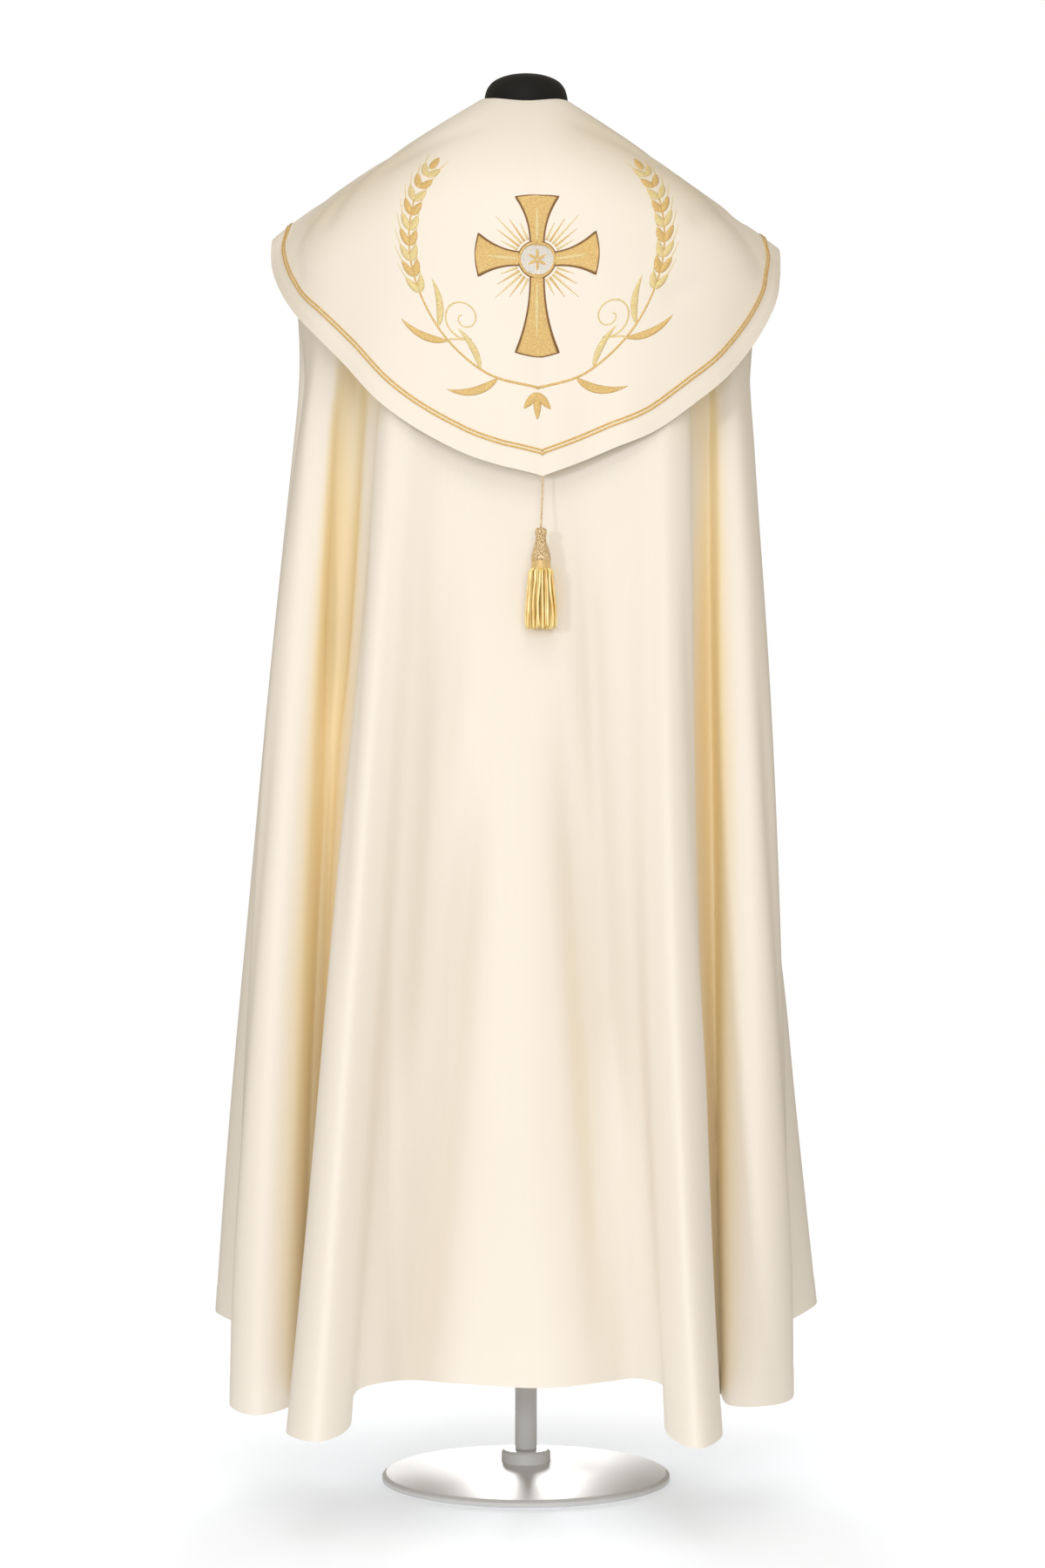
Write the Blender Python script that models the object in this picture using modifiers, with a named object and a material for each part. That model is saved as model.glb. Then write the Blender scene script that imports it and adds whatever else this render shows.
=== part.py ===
"""A cope vestment on a limbless dress form and its stand, in metres, Z up.

The wearer faces +Y, so the back with its hood faces -Y, and +X is the wearer's right. The origin is on
the floor, under the neck. A plan angle is in degrees round the neck: 0 is the centre back (-Y), 90 is
+X and -90 is -X, so the front edges lie near 180 and -180.
"""

import math
from collections import namedtuple

import bmesh
import bpy
import numpy as np

MM = 0.001
SEAM = 0.3 * MM  # clear space between two pieces that touch

COPE_WALL = 1.6 * MM
HOOD_WALL = 2.0 * MM
BRAID_WIDTH = 5 * MM
BRAID_THICK = 1.0 * MM
BRAID_INSET = 25 * MM  # from the hood's edge to the braid's middle

# Cope: the yoke lies on the shoulders, from the neck ring out to a corner and down to the break, where
# the folds start. slope is the fall from the ring to the corner, in degrees.
Yoke = namedtuple("Yoke", "angle ring_r ring_z slope break_r break_z")
YOKE = [
    Yoke(-180, 0.063, 1.546, 35, 0.134, 1.350),
    Yoke(-135, 0.058, 1.562, 34, 0.178, 1.365),
    Yoke(-90, 0.0525, 1.5760, 31.5, 0.262, 1.370),
    Yoke(-45, 0.056, 1.572, 34, 0.200, 1.385),
    Yoke(0, 0.060, 1.5655, 37, 0.166, 1.395),
    Yoke(45, 0.056, 1.571, 35, 0.200, 1.385),
    Yoke(90, 0.0525, 1.5710, 36.0, 0.262, 1.360),
    Yoke(135, 0.058, 1.561, 34, 0.178, 1.365),
    Yoke(180, 0.063, 1.546, 35, 0.134, 1.350),
]
YOKE_ROWS = (0, 0.16, 0.32, 0.47, 0.61, 0.75, 0.88)

# Cope: each fold's places at three shares of the way from the break down to the hem, from the wearer's
# left front edge round the back to the right one. angle is where the fold runs out on the yoke, and
# cells is how many mesh cells lead to the next row.
HIGH, MID, HEM = 0.15, 0.5, 1.0
Fold = namedtuple("Fold", "angle high_x high_y mid_x mid_y hem_x hem_y hem_z cells")
FOLDS = [
    Fold(-167, -0.033, 0.145, -0.050, 0.240, -0.075, 0.345, 0.150, 2),  # left front edge
    Fold(-153, -0.078, 0.150, -0.095, 0.258, -0.112, 0.382, 0.150, 2),
    Fold(-140, -0.122, 0.138, -0.140, 0.255, -0.158, 0.392, 0.148, 3),  # first front flute
    Fold(-124, -0.165, 0.104, -0.178, 0.180, -0.195, 0.262, 0.152, 3),
    Fold(-113, -0.215, 0.096, -0.245, 0.215, -0.278, 0.345, 0.150, 3),  # second front flute
    Fold(-104, -0.232, 0.050, -0.243, 0.118, -0.262, 0.185, 0.154, 3),
    Fold(-97, -0.261, 0.030, -0.292, 0.112, -0.340, 0.215, 0.170, 2),
    Fold(-90, -0.266, 0.000, -0.312, 0.060, -0.368, 0.140, 0.172, 3),  # side flute
    Fold(-84, -0.250, -0.028, -0.268, -0.040, -0.288, -0.030, 0.156, 3),
    Fold(-77, -0.257, -0.064, -0.296, -0.150, -0.323, -0.200, 0.120, 2),
    Fold(-71, -0.246, -0.090, -0.270, -0.177, -0.293, -0.236, 0.115, 2),  # outer back flute
    Fold(-66, -0.224, -0.093, -0.241, -0.166, -0.263, -0.215, 0.119, 2),
    Fold(-61, -0.205, -0.085, -0.225, -0.122, -0.247, -0.158, 0.126, 3),  # deep valley
    Fold(-53, -0.166, -0.118, -0.194, -0.185, -0.236, -0.268, 0.124, 2),
    Fold(-47, -0.163, -0.155, -0.197, -0.242, -0.249, -0.352, 0.117, 2),
    Fold(-41, -0.150, -0.172, -0.176, -0.262, -0.217, -0.388, 0.115, 2),  # inner back flute
    Fold(-36, -0.132, -0.175, -0.154, -0.250, -0.187, -0.352, 0.122, 2),
    Fold(-31, -0.110, -0.173, -0.132, -0.226, -0.181, -0.280, 0.149, 2),
    Fold(-25, -0.086, -0.172, -0.106, -0.219, -0.146, -0.262, 0.155, 2),
    Fold(-13, -0.045, -0.174, -0.058, -0.218, -0.072, -0.271, 0.155, 3),
    Fold(1, 0.005, -0.177, 0.005, -0.222, 0.018, -0.285, 0.153, 3),  # centre back
    Fold(15, 0.055, -0.172, 0.062, -0.215, 0.092, -0.264, 0.156, 3),
    Fold(25, 0.090, -0.171, 0.092, -0.218, 0.122, -0.260, 0.158, 2),
    Fold(31, 0.114, -0.173, 0.112, -0.228, 0.149, -0.280, 0.153, 2),
    Fold(37, 0.137, -0.175, 0.133, -0.253, 0.148, -0.355, 0.119, 2),
    Fold(42, 0.158, -0.172, 0.156, -0.266, 0.176, -0.398, 0.110, 2),  # inner back flute
    Fold(48, 0.180, -0.152, 0.183, -0.240, 0.204, -0.358, 0.115, 2),
    Fold(54, 0.180, -0.116, 0.180, -0.185, 0.198, -0.265, 0.124, 3),
    Fold(62, 0.204, -0.083, 0.207, -0.120, 0.213, -0.155, 0.129, 2),  # deep valley
    Fold(67, 0.222, -0.091, 0.227, -0.162, 0.228, -0.200, 0.123, 2),
    Fold(72, 0.241, -0.089, 0.253, -0.178, 0.258, -0.220, 0.124, 2),  # outer back flute
    Fold(78, 0.257, -0.060, 0.276, -0.148, 0.291, -0.188, 0.126, 3),
    Fold(84, 0.250, -0.022, 0.259, -0.034, 0.268, -0.020, 0.158, 3),
    Fold(91, 0.256, 0.006, 0.286, 0.070, 0.3455, 0.150, 0.180, 2),  # side flute
    Fold(98, 0.250, 0.036, 0.273, 0.120, 0.318, 0.222, 0.176, 3),
    Fold(105, 0.226, 0.052, 0.232, 0.120, 0.246, 0.188, 0.158, 3),
    Fold(114, 0.212, 0.094, 0.238, 0.212, 0.268, 0.340, 0.152, 3),  # second front flute
    Fold(125, 0.162, 0.104, 0.173, 0.180, 0.188, 0.262, 0.152, 3),
    Fold(141, 0.120, 0.138, 0.137, 0.255, 0.154, 0.390, 0.148, 2),  # first front flute
    Fold(153, 0.078, 0.150, 0.094, 0.258, 0.110, 0.380, 0.150, 2),
    Fold(167, 0.033, 0.145, 0.050, 0.240, 0.075, 0.345, 0.150, 0),  # right front edge
]
HANG_ROWS = (0, 0.05, 0.10, 0.15, 0.24, 0.37, 0.52, 0.67, 0.80, 0.90, 1.0)

# Hood: a wide shield round the shoulders that hangs to a point behind. Its profile runs from just over
# the cope's neck ring out to a corner and down to the edge.
HOOD_RISE = COPE_WALL / 2 + 3 * SEAM + HOOD_WALL / 2
Shield = namedtuple("Shield", "angle slope corner_r edge_r edge_z firm")
HOOD_LEFT = [
    Shield(-180, 34.0, 0.141, 0.144, 1.425, 0.80),
    Shield(-150, 33.0, 0.172, 0.175, 1.428, 0.80),
    Shield(-120, 30.5, 0.241, 0.246, 1.432, 0.75),
    Shield(-100, 31.3, 0.266, 0.287, 1.428, 0.80),
    Shield(-90, 31.8, 0.268, 0.2915, 1.416, 0.80),
    Shield(-85, 31.8, 0.268, 0.2905, 1.388, 0.80),
    Shield(-80, 31.8, 0.267, 0.286, 1.364, 0.80),
    Shield(-71.5, 31.6, 0.262, 0.275, 1.327, 0.80),
    Shield(-62.5, 31.8, 0.249, 0.2625, 1.295, 0.80),
    Shield(-54, 32.0, 0.234, 0.2475, 1.261, 0.80),
    Shield(-42, 32.5, 0.214, 0.2365, 1.2145, 0.80),
    Shield(-20, 34.0, 0.190, 0.214, 1.160, 0.80),
    Shield(5, 35.0, 0.180, 0.207, 1.132, 0.80),
]
HOOD_RIGHT = [
    Shield(5, 35.0, 0.180, 0.207, 1.132, 0.80),
    Shield(15, 34.5, 0.184, 0.211, 1.146, 0.80),
    Shield(25, 34.0, 0.192, 0.218, 1.162, 0.80),
    Shield(38, 33.5, 0.210, 0.233, 1.185, 0.80),
    Shield(48.5, 33.2, 0.231, 0.249, 1.217, 0.80),
    Shield(58, 33.0, 0.250, 0.2665, 1.251, 0.80),
    Shield(66, 33.2, 0.262, 0.2795, 1.288, 0.80),
    Shield(73, 33.4, 0.268, 0.2865, 1.326, 0.80),
    Shield(81, 33.7, 0.271, 0.290, 1.371, 0.85),
    Shield(86, 33.8, 0.271, 0.2905, 1.398, 0.90),
    Shield(92, 33.8, 0.270, 0.2905, 1.413, 0.90),
    Shield(104, 33.6, 0.260, 0.277, 1.421, 0.85),
    Shield(120, 33.0, 0.240, 0.246, 1.426, 0.80),
    Shield(150, 33.5, 0.172, 0.175, 1.426, 0.80),
    Shield(180, 34.0, 0.141, 0.144, 1.425, 0.80),
]
HOOD_FRONT = 166  # plan angle of the hood's two front edges
HOOD_TIP = 5  # plan angle of its point
HOOD_STEP = 5.5  # degrees between its mesh columns, about
HOOD_ROLL = 0.10  # drop from its corner over which the hood rolls over, before it hangs straight
HOOD_ROWS = (0, 0.13, 0.26, 0.38, 0.50, 0.62, 0.74, 0.87, 1.0)  # shares of the way down to the braid
HOOD_BRAID = len(HOOD_ROWS) - 1

# Front clasp band: a plain tab across the opening, on both front edges
CLASP_HALF_WIDTH = 55 * MM
CLASP_TOP_Z = 1.408
CLASP_BOTTOM_Z = 1.364
CLASP_WALL = 2.4 * MM

# Tassel under the hood's point: the cord's route, a turned head, and a skirt of strands
CORD_DIAMETER = 2.6 * MM
CORD_POINTS = 10
CORD_HANG = 0.054  # from the hood's point down to the tassel
CORD_LEAN = 0.014  # how far the tassel lies out behind the hood's point, where the cope below pushes it
HEAD_PROFILE = [  # radius, depth below the cord's end
    (0.0034, 0.0000),
    (0.0056, 0.0020),
    (0.0062, 0.0068),
    (0.0048, 0.0108),
    (0.0068, 0.0160),
    (0.0098, 0.0245),
    (0.0113, 0.0340),
    (0.0122, 0.0350),
    (0.0126, 0.0400),
    (0.0122, 0.0455),
    (0.0112, 0.0465),
]
STRAND_RINGS = (0.0112, 0.0072, 0.0032)  # radii between the rings of strands under the head
STRANDS_ROUND = 18
STRAND_GAP = 0.3 * MM  # from each strand to its cell's edge
STRAND_LENGTH = 0.064
STRAND_SPREAD = 1.48  # the skirt's width at its ends, as a share of its width at the head

# Dress form: a smooth torso with a capped neck. Its shoulders follow the yoke from inside.
FORM_CLEAR = COPE_WALL / 2 + 0.8 * MM  # from the cope's middle surface to the form where the cope rests
FORM_SHOULDER_ROWS = (0.06,) + YOKE_ROWS[1:] + (1.0,)
FORM_REST_SHARE = 0.34  # share of the yoke that the form carries
FORM_SIDE_CLEAR = 0.055
FORM_BACK_CLEAR = 0.030
NECK_HALF_WIDTH = 0.0482
NECK_HALF_DEPTH = 0.0555
Level = namedtuple("Level", "z half_width half_depth")
NECK_CAP = [  # half width and half depth as shares of the neck's
    Level(1.6088, 0.30, 0.30),
    Level(1.6066, 0.56, 0.56),
    Level(1.6015, 0.79, 0.79),
    Level(1.5945, 0.92, 0.92),
    Level(1.5860, 0.98, 0.98),
    Level(1.5780, 1.00, 1.00),
]
TORSO = [
    Level(1.300, 0.176, 0.121),
    Level(1.200, 0.160, 0.114),
    Level(1.090, 0.142, 0.102),
    Level(0.990, 0.154, 0.110),
    Level(0.900, 0.170, 0.119),
    Level(0.880, 0.160, 0.110),
]
FORM_SIDES = 32

# Stand: a pole from the form's underside to a round plate
POLE_RADIUS = 0.0125
BASE_RADIUS = 0.165
BASE_EDGE = 0.008
HUB_RADIUS = 0.028
HUB_TOP_Z = 0.034

CREAM = (0.93, 0.88, 0.77, 1.0)
HOOD_CREAM = (0.92, 0.86, 0.73, 1.0)
GOLD = (0.62, 0.38, 0.12, 1.0)
BLACK = (0.018, 0.017, 0.016, 1.0)
GREY = (0.62, 0.62, 0.61, 1.0)


def material(name, colour, roughness, metallic=0.0):
    made = bpy.data.materials.new(name)
    made.use_nodes = True
    shader = made.node_tree.nodes["Principled BSDF"]
    shader.inputs["Base Color"].default_value = colour
    shader.inputs["Roughness"].default_value = roughness
    shader.inputs["Metallic"].default_value = metallic
    made.diffuse_color = colour
    return made


def smooth(knots, rows, at):
    """A curve through rows of values at the knots. Each slope comes from the rows on either side."""
    slopes = np.gradient(rows, knots, axis=0)
    i = np.clip(np.searchsorted(knots, at, side="right") - 1, 0, len(knots) - 2)
    gap = (knots[i + 1] - knots[i])[:, None]
    s = (at - knots[i])[:, None] / gap
    start = rows[i] * (1 + 2 * s) + slopes[i] * gap * s
    end = rows[i + 1] * (3 - 2 * s) + slopes[i + 1] * gap * (s - 1)
    return start * (1 - s) ** 2 + end * s**2


def ramp(x):
    x = np.clip(x, 0, 1)
    return x * x * (3 - 2 * x)


def profile(start, slope, corner_r, end, share, firm=0.8):
    """(r, z) at a share of the way along: a straight fall from start to a corner, rolled down to end.

    firm is how much of each straight stretch is kept: at 1 it runs right up to the corner."""
    corner = (corner_r, start[1] - np.tan(np.radians(slope)) * (corner_r - start[0]))
    found = []
    for first, turn, last in zip(start, corner, end):
        out = first + firm * (turn - first)
        back = last + firm * (turn - last)
        found.append(
            first * (1 - share) ** 3
            + 3 * out * share * (1 - share) ** 2
            + 3 * back * share**2 * (1 - share)
            + last * share**3
        )
    return found


def in_plan(angle, r, z):
    turn = np.radians(angle)
    return np.stack([r * np.sin(turn), -r * np.cos(turn), z + 0 * turn], axis=-1)


def yoke_sizes(angle):
    """ring_r, ring_z, slope, break_r and break_z at each angle, from a table that closes on itself."""
    table = np.array(YOKE)
    knots = np.concatenate([table[:-1, 0] - 360, table[:, 0], table[1:, 0] + 360])
    rows = np.concatenate([table[:-1, 1:], table[:, 1:], table[1:, 1:]])
    return smooth(knots, rows, np.asarray(angle, float)).T


def yoke(angle, share):
    """Points of the cope's yoke: share 0 is the neck ring and 1 the break."""
    ring_r, ring_z, slope, break_r, break_z = yoke_sizes(angle)
    r, z = profile((ring_r, ring_z), slope, break_r, (break_r, break_z), share)
    return in_plan(angle, r, z)


def cope():
    """Rows of points from the neck to the hem, each from the left front edge to the right one."""
    table = np.array(FOLDS)
    steps = np.linalg.norm(np.diff(table[:, 3:7], axis=0), axis=1) ** 0.5
    knots = np.concatenate([[0], np.cumsum(steps)])
    at = [
        np.linspace(knots[i], knots[i + 1], int(cells), endpoint=False)
        for i, cells in enumerate(table[:-1, -1])
    ]
    columns = smooth(knots, table[:, :-1], np.append(np.concatenate(at), knots[-1]))
    angle, hem_z = columns[:, 0], columns[:, 7]
    high, mid, hem = columns[:, 1:3], columns[:, 3:5], columns[:, 5:7]
    rows = [yoke(angle, share) for share in YOKE_ROWS]
    outline = yoke(angle, 1.0)
    for drop in HANG_ROWS:
        # The curve through the three given places, eased out of the smooth outline at the break
        plan = (
            high * (drop - MID) * (drop - HEM) / ((HIGH - MID) * (HIGH - HEM))
            + mid * (drop - HIGH) * (drop - HEM) / ((MID - HIGH) * (MID - HEM))
            + hem * (drop - HIGH) * (drop - MID) / ((HEM - HIGH) * (HEM - MID))
        )
        plan = outline[:, :2] + (plan - outline[:, :2]) * ramp(drop / HIGH)
        z = outline[:, 2] + (hem_z - outline[:, 2]) * drop
        rows.append(np.column_stack([plan, z]))
    return np.array(rows)


def hood_falls(angles):
    """The hood's profiles at angles on one side of its tip: points close together, neck to edge."""
    angles = np.asarray(angles, float)
    table = np.array(HOOD_LEFT if angles.mean() < HOOD_TIP else HOOD_RIGHT)
    slope, corner_r, edge_r, edge_z, firm = smooth(table[:, 0], table[:, 1:], angles).T
    ring_r, ring_z = yoke_sizes(angles)[:2]
    start = (ring_r - HOOD_RISE * 0.4, ring_z + HOOD_RISE * 1.35)
    corner_z = start[1] - np.tan(np.radians(slope)) * (corner_r - start[0])
    roll_z = np.maximum(edge_z, corner_z - HOOD_ROLL)
    roll_r = corner_r + (edge_r - corner_r) * (corner_z - roll_z) / (corner_z - edge_z)
    rolled = [profile(start, slope, corner_r, (roll_r, roll_z), t, firm) for t in np.linspace(0, 1, 61)]
    straight = [
        (roll_r + (edge_r - roll_r) * t, roll_z + (edge_z - roll_z) * t) for t in np.linspace(0.1, 1, 10)
    ]
    return np.array([in_plan(angles, r, z) for r, z in rolled + straight])


def hood_lines(angles):
    """Lines of points along one side of the hood, from the neck to the edge. The braid's two edges are
    the lines HOOD_BRAID and HOOD_BRAID + 1."""
    falls = hood_falls(angles)
    runs = np.linalg.norm(np.diff(falls, axis=0), axis=2)
    lengths = np.vstack([np.zeros(len(angles)), runs.cumsum(axis=0)])

    def line(place):
        return np.array(
            [
                [np.interp(place[i], lengths[:, i], falls[:, i, k]) for k in range(3)]
                for i in range(len(angles))
            ]
        )

    edge = lengths[-1]
    along_edge = unit(np.gradient(falls[-1], axis=0))
    down = unit(falls[-1] - line(edge - BRAID_INSET))
    across = np.sqrt(1 - (down * along_edge).sum(axis=1) ** 2)
    upper = edge - (BRAID_INSET + BRAID_WIDTH / 2) / across
    lower = edge - (BRAID_INSET - BRAID_WIDTH / 2) / across
    return np.array(
        [line(upper * share) for share in HOOD_ROWS] + [line(lower), line((lower + edge) / 2), line(edge)]
    )


def hood():
    """The hood's grid of points. Both sides meet at the tip's column."""
    left_columns = round((HOOD_TIP + HOOD_FRONT) / HOOD_STEP)
    right_columns = round((HOOD_FRONT - HOOD_TIP) / HOOD_STEP)
    left = hood_lines(np.linspace(-HOOD_FRONT, HOOD_TIP, left_columns + 1))
    right = hood_lines(np.linspace(HOOD_TIP, HOOD_FRONT, right_columns + 1))
    middle = (left[:, -1:] + right[:, :1]) / 2
    return np.concatenate([left[:, :-1], middle, right[:, 1:]], axis=1)


def unit(vectors):
    return vectors / np.linalg.norm(vectors, axis=-1, keepdims=True)


def new_object(name, data, look):
    made = bpy.data.objects.new(name, data)
    if not data.materials:
        data.materials.append(look)
    bpy.data.collections["cope_vestment"].objects.link(made)
    return made


def sheet(name, rows, wall, look):
    """Cloth: an open surface through rows of points, given its wall on both sides."""
    rows = np.array(rows)
    high, wide = rows.shape[:2]
    mesh = bpy.data.meshes.new(name)
    mesh.from_pydata(
        rows.reshape(-1, 3).tolist(),
        [],
        [
            (i * wide + j, (i + 1) * wide + j, (i + 1) * wide + j + 1, i * wide + j + 1)
            for i in range(high - 1)
            for j in range(wide - 1)
        ],
    )
    mesh.shade_smooth()
    made = new_object(name, mesh, look)
    solidify = made.modifiers.new("wall", "SOLIDIFY")
    solidify.thickness = wall
    solidify.offset = 0
    return made


def loft(name, rings, look):
    """A closed solid through rings of points with flat ends. The rings run upwards, anticlockwise."""
    sides = len(rings[0])
    mesh = bpy.data.meshes.new(name)
    work = bmesh.new()
    verts = [[work.verts.new(point) for point in ring] for ring in rings]
    for low, high in zip(verts, verts[1:]):
        for i in range(sides):
            j = (i + 1) % sides
            work.faces.new((low[i], low[j], high[j], high[i]))
    work.faces.new(verts[0][::-1])
    work.faces.new(verts[-1])
    bmesh.ops.recalc_face_normals(work, faces=work.faces)
    work.to_mesh(mesh)
    work.free()
    mesh.shade_smooth()
    mesh.set_sharp_from_angle(angle=math.radians(40))
    return new_object(name, mesh, look)


def turned(name, points, steps, look):
    """A turned solid from its outer profile of (r, z), top to bottom, closed on the axis at both ends."""
    mesh = bpy.data.meshes.new(name)
    outline = [(0, points[0][1])] + list(points) + [(0, points[-1][1])]
    mesh.from_pydata(
        [(r, 0, z) for r, z in outline], [(i, i + 1) for i in range(len(outline) - 1)], []
    )
    made = new_object(name, mesh, look)
    screw = made.modifiers.new("turn", "SCREW")
    screw.steps = screw.render_steps = steps
    screw.use_merge_vertices = True
    screw.merge_threshold = 0.0001
    return made


def clasp_grid():
    """The clasp's middle surface: the yoke's front between two heights, moved out to lie on the cope."""
    shares = np.linspace(0, 1, 101)
    falls = np.array([yoke([180.0], share)[0] for share in shares])
    lift = COPE_WALL / 2 + 2 * SEAM + CLASP_WALL / 2
    rows = []
    for z in np.linspace(CLASP_TOP_Z, CLASP_BOTTOM_Z, 4):
        share = np.interp(-z, -falls[:, 2], shares)
        half = math.degrees(math.asin(CLASP_HALF_WIDTH / np.interp(-z, -falls[:, 2], falls[:, 1])))
        angles = np.linspace(180 - half, 180 + half, 9)
        points = yoke(angles, share)
        rows.append(points + lift * unit(points * (1, 1, 0)))
    return rows


def form_rings():
    """The dress form's rings from its underside to the top of the neck."""
    angles = np.arange(FORM_SIDES) * 360 / FORM_SIDES - 180
    turn = np.radians(angles)

    def oval(level, width=1.0, depth=1.0):
        half_width, half_depth = level.half_width * width, level.half_depth * depth
        r = 1 / np.sqrt((np.sin(turn) / half_width) ** 2 + (np.cos(turn) / half_depth) ** 2)
        return in_plan(angles, r, level.z)

    rings = [oval(level) for level in reversed(TORSO)]
    side = np.sin(turn)[:, None] ** 2
    for share in reversed(FORM_SHOULDER_ROWS):
        points = yoke(angles, share)
        fall = yoke(angles, min(share + 0.01, 1.0)) - yoke(angles, share - 0.01)
        round_neck = np.stack([np.cos(turn), np.sin(turn), 0 * turn], axis=-1)
        inward = unit(np.cross(round_neck, fall))
        grown = ramp((share - FORM_REST_SHARE) / (1 - FORM_REST_SHARE))
        far = FORM_BACK_CLEAR + (FORM_SIDE_CLEAR - FORM_BACK_CLEAR) * side
        rings.append(points + inward * (FORM_CLEAR + (far - FORM_CLEAR) * grown))
    neck = [oval(level, NECK_HALF_WIDTH, NECK_HALF_DEPTH) for level in reversed(NECK_CAP)]
    foot = neck[0].copy()  # the neck stands upright inside the cope's ring
    foot[:, 2] = yoke_sizes(angles)[1] - FORM_CLEAR
    return rings + [foot] + neck


def cord_route():
    """From the hood's point to the top of the tassel, a point every two or three diameters."""
    x, y, z = hood_falls([HOOD_TIP])[-1, 0]
    start = (x, y, z - 2 * SEAM)
    bend = (x, y - 0.3 * CORD_LEAN, z - 0.42 * CORD_HANG)
    route = np.array([start, bend, (x, y - CORD_LEAN, z - CORD_HANG)])
    return smooth(np.array([0, 0.42, 1]), route, np.linspace(0, 1, CORD_POINTS))


def cord(name, points, diameter, look):
    curve = bpy.data.curves.new(name, "CURVE")
    curve.dimensions = "3D"
    curve.bevel_depth = diameter / 2
    curve.bevel_resolution = 2
    curve.use_fill_caps = True
    spline = curve.splines.new("POLY")
    spline.points.add(len(points) - 1)
    for place, point in zip(spline.points, points):
        place.co = (*point, 1)
    return new_object(name, curve, look)


def tassel(name, top, look):
    """A turned head. Its flat underside is made of cells, and each cell is drawn down as a strand."""
    under = [(r, HEAD_PROFILE[-1][1]) for r in STRAND_RINGS[1:]]
    head = turned(name, [(r, -drop) for r, drop in HEAD_PROFILE + under], STRANDS_ROUND, look)
    graph = bpy.context.evaluated_depsgraph_get()
    mesh = bpy.data.meshes.new_from_object(head.evaluated_get(graph))
    bpy.data.objects.remove(head)
    work = bmesh.new()
    work.from_mesh(mesh)
    cells = [
        face
        for face in work.faces
        if face.normal.z < -0.99 and len(face.verts) == 4 and face.calc_center_median().z < -0.04
    ]
    bmesh.ops.inset_individual(work, faces=cells, thickness=STRAND_GAP)
    ends = bmesh.ops.extrude_discrete_faces(work, faces=cells)["faces"]
    for index, end in enumerate(ends):
        shorter = 0.035 * (index * 5 % 7) / 6  # uneven ends
        for vert in end.verts:
            vert.co.x *= STRAND_SPREAD
            vert.co.y *= STRAND_SPREAD
            vert.co.z -= STRAND_LENGTH * (1 - shorter)
    work.to_mesh(mesh)
    work.free()
    mesh.shade_smooth()
    mesh.set_sharp_from_angle(angle=math.radians(40))
    made = new_object(name, mesh, look)
    made.location = top
    return made


for old in list(bpy.data.objects):
    bpy.data.objects.remove(old, do_unlink=True)
parts = bpy.data.collections.new("cope_vestment")
bpy.context.scene.collection.children.link(parts)

satin = material("cope satin", CREAM, 0.5)
hood_satin = material("hood satin", HOOD_CREAM, 0.5)
gold_thread = material("gold thread", GOLD, 0.45, 0.4)
black_cloth = material("black form cover", BLACK, 0.8)
paint = material("painted stand", GREY, 0.4)

sheet("cope_body", cope(), COPE_WALL, satin)

hood_points = hood()
sheet("hood", hood_points, HOOD_WALL, hood_satin)

sheet("front_clasp", clasp_grid(), CLASP_WALL, satin)

braid_strip = hood_points[HOOD_BRAID : HOOD_BRAID + 2]
out_of_hood = unit(np.cross(braid_strip[1] - braid_strip[0], np.gradient(braid_strip.sum(axis=0), axis=0)))
braid_lift = HOOD_WALL / 2 + 1.5 * SEAM + BRAID_THICK / 2
sheet("hood_braid", braid_strip + out_of_hood * braid_lift, BRAID_THICK, gold_thread)

route = cord_route()
cord("tassel_cord", route, CORD_DIAMETER, gold_thread)
tassel("tassel", route[-1] - (0, 0, SEAM + CORD_DIAMETER / 4), gold_thread)

loft("form_torso", form_rings(), black_cloth)

pole_bottom, pole_top = HUB_TOP_Z + SEAM, TORSO[-1].z - SEAM
bpy.ops.mesh.primitive_cylinder_add(
    vertices=24,
    radius=POLE_RADIUS,
    depth=pole_top - pole_bottom,
    location=(0, 0, (pole_top + pole_bottom) / 2),
)
pole = bpy.context.object
pole.name = "stand_pole"
pole.data.materials.append(paint)
for owner in list(pole.users_collection):
    owner.objects.unlink(pole)
parts.objects.link(pole)

turned(
    "stand_base",
    [
        (HUB_RADIUS - 0.003, HUB_TOP_Z),
        (HUB_RADIUS, HUB_TOP_Z - 0.003),
        (HUB_RADIUS, HUB_TOP_Z - 0.014),
        (BASE_RADIUS * 0.55, BASE_EDGE + 0.007),
        (BASE_RADIUS - 0.004, BASE_EDGE),
        (BASE_RADIUS, BASE_EDGE - 0.003),
        (BASE_RADIUS, 0),
    ],
    48,
    paint,
)
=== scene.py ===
"""A cream satin cope, its shield hood and tassel, on a black dress form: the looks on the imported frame.

Lengths are in metres, Z is up. The wearer faces +Y, so the hood hangs at -Y and +X is the wearer's right.
A plan angle is in degrees round the neck: 0 is the centre back, 90 is +X and -90 is -X.
"""

import math

import bmesh
import bpy
import numpy as np
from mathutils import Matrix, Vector
from mathutils.bvhtree import BVHTree


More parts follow.
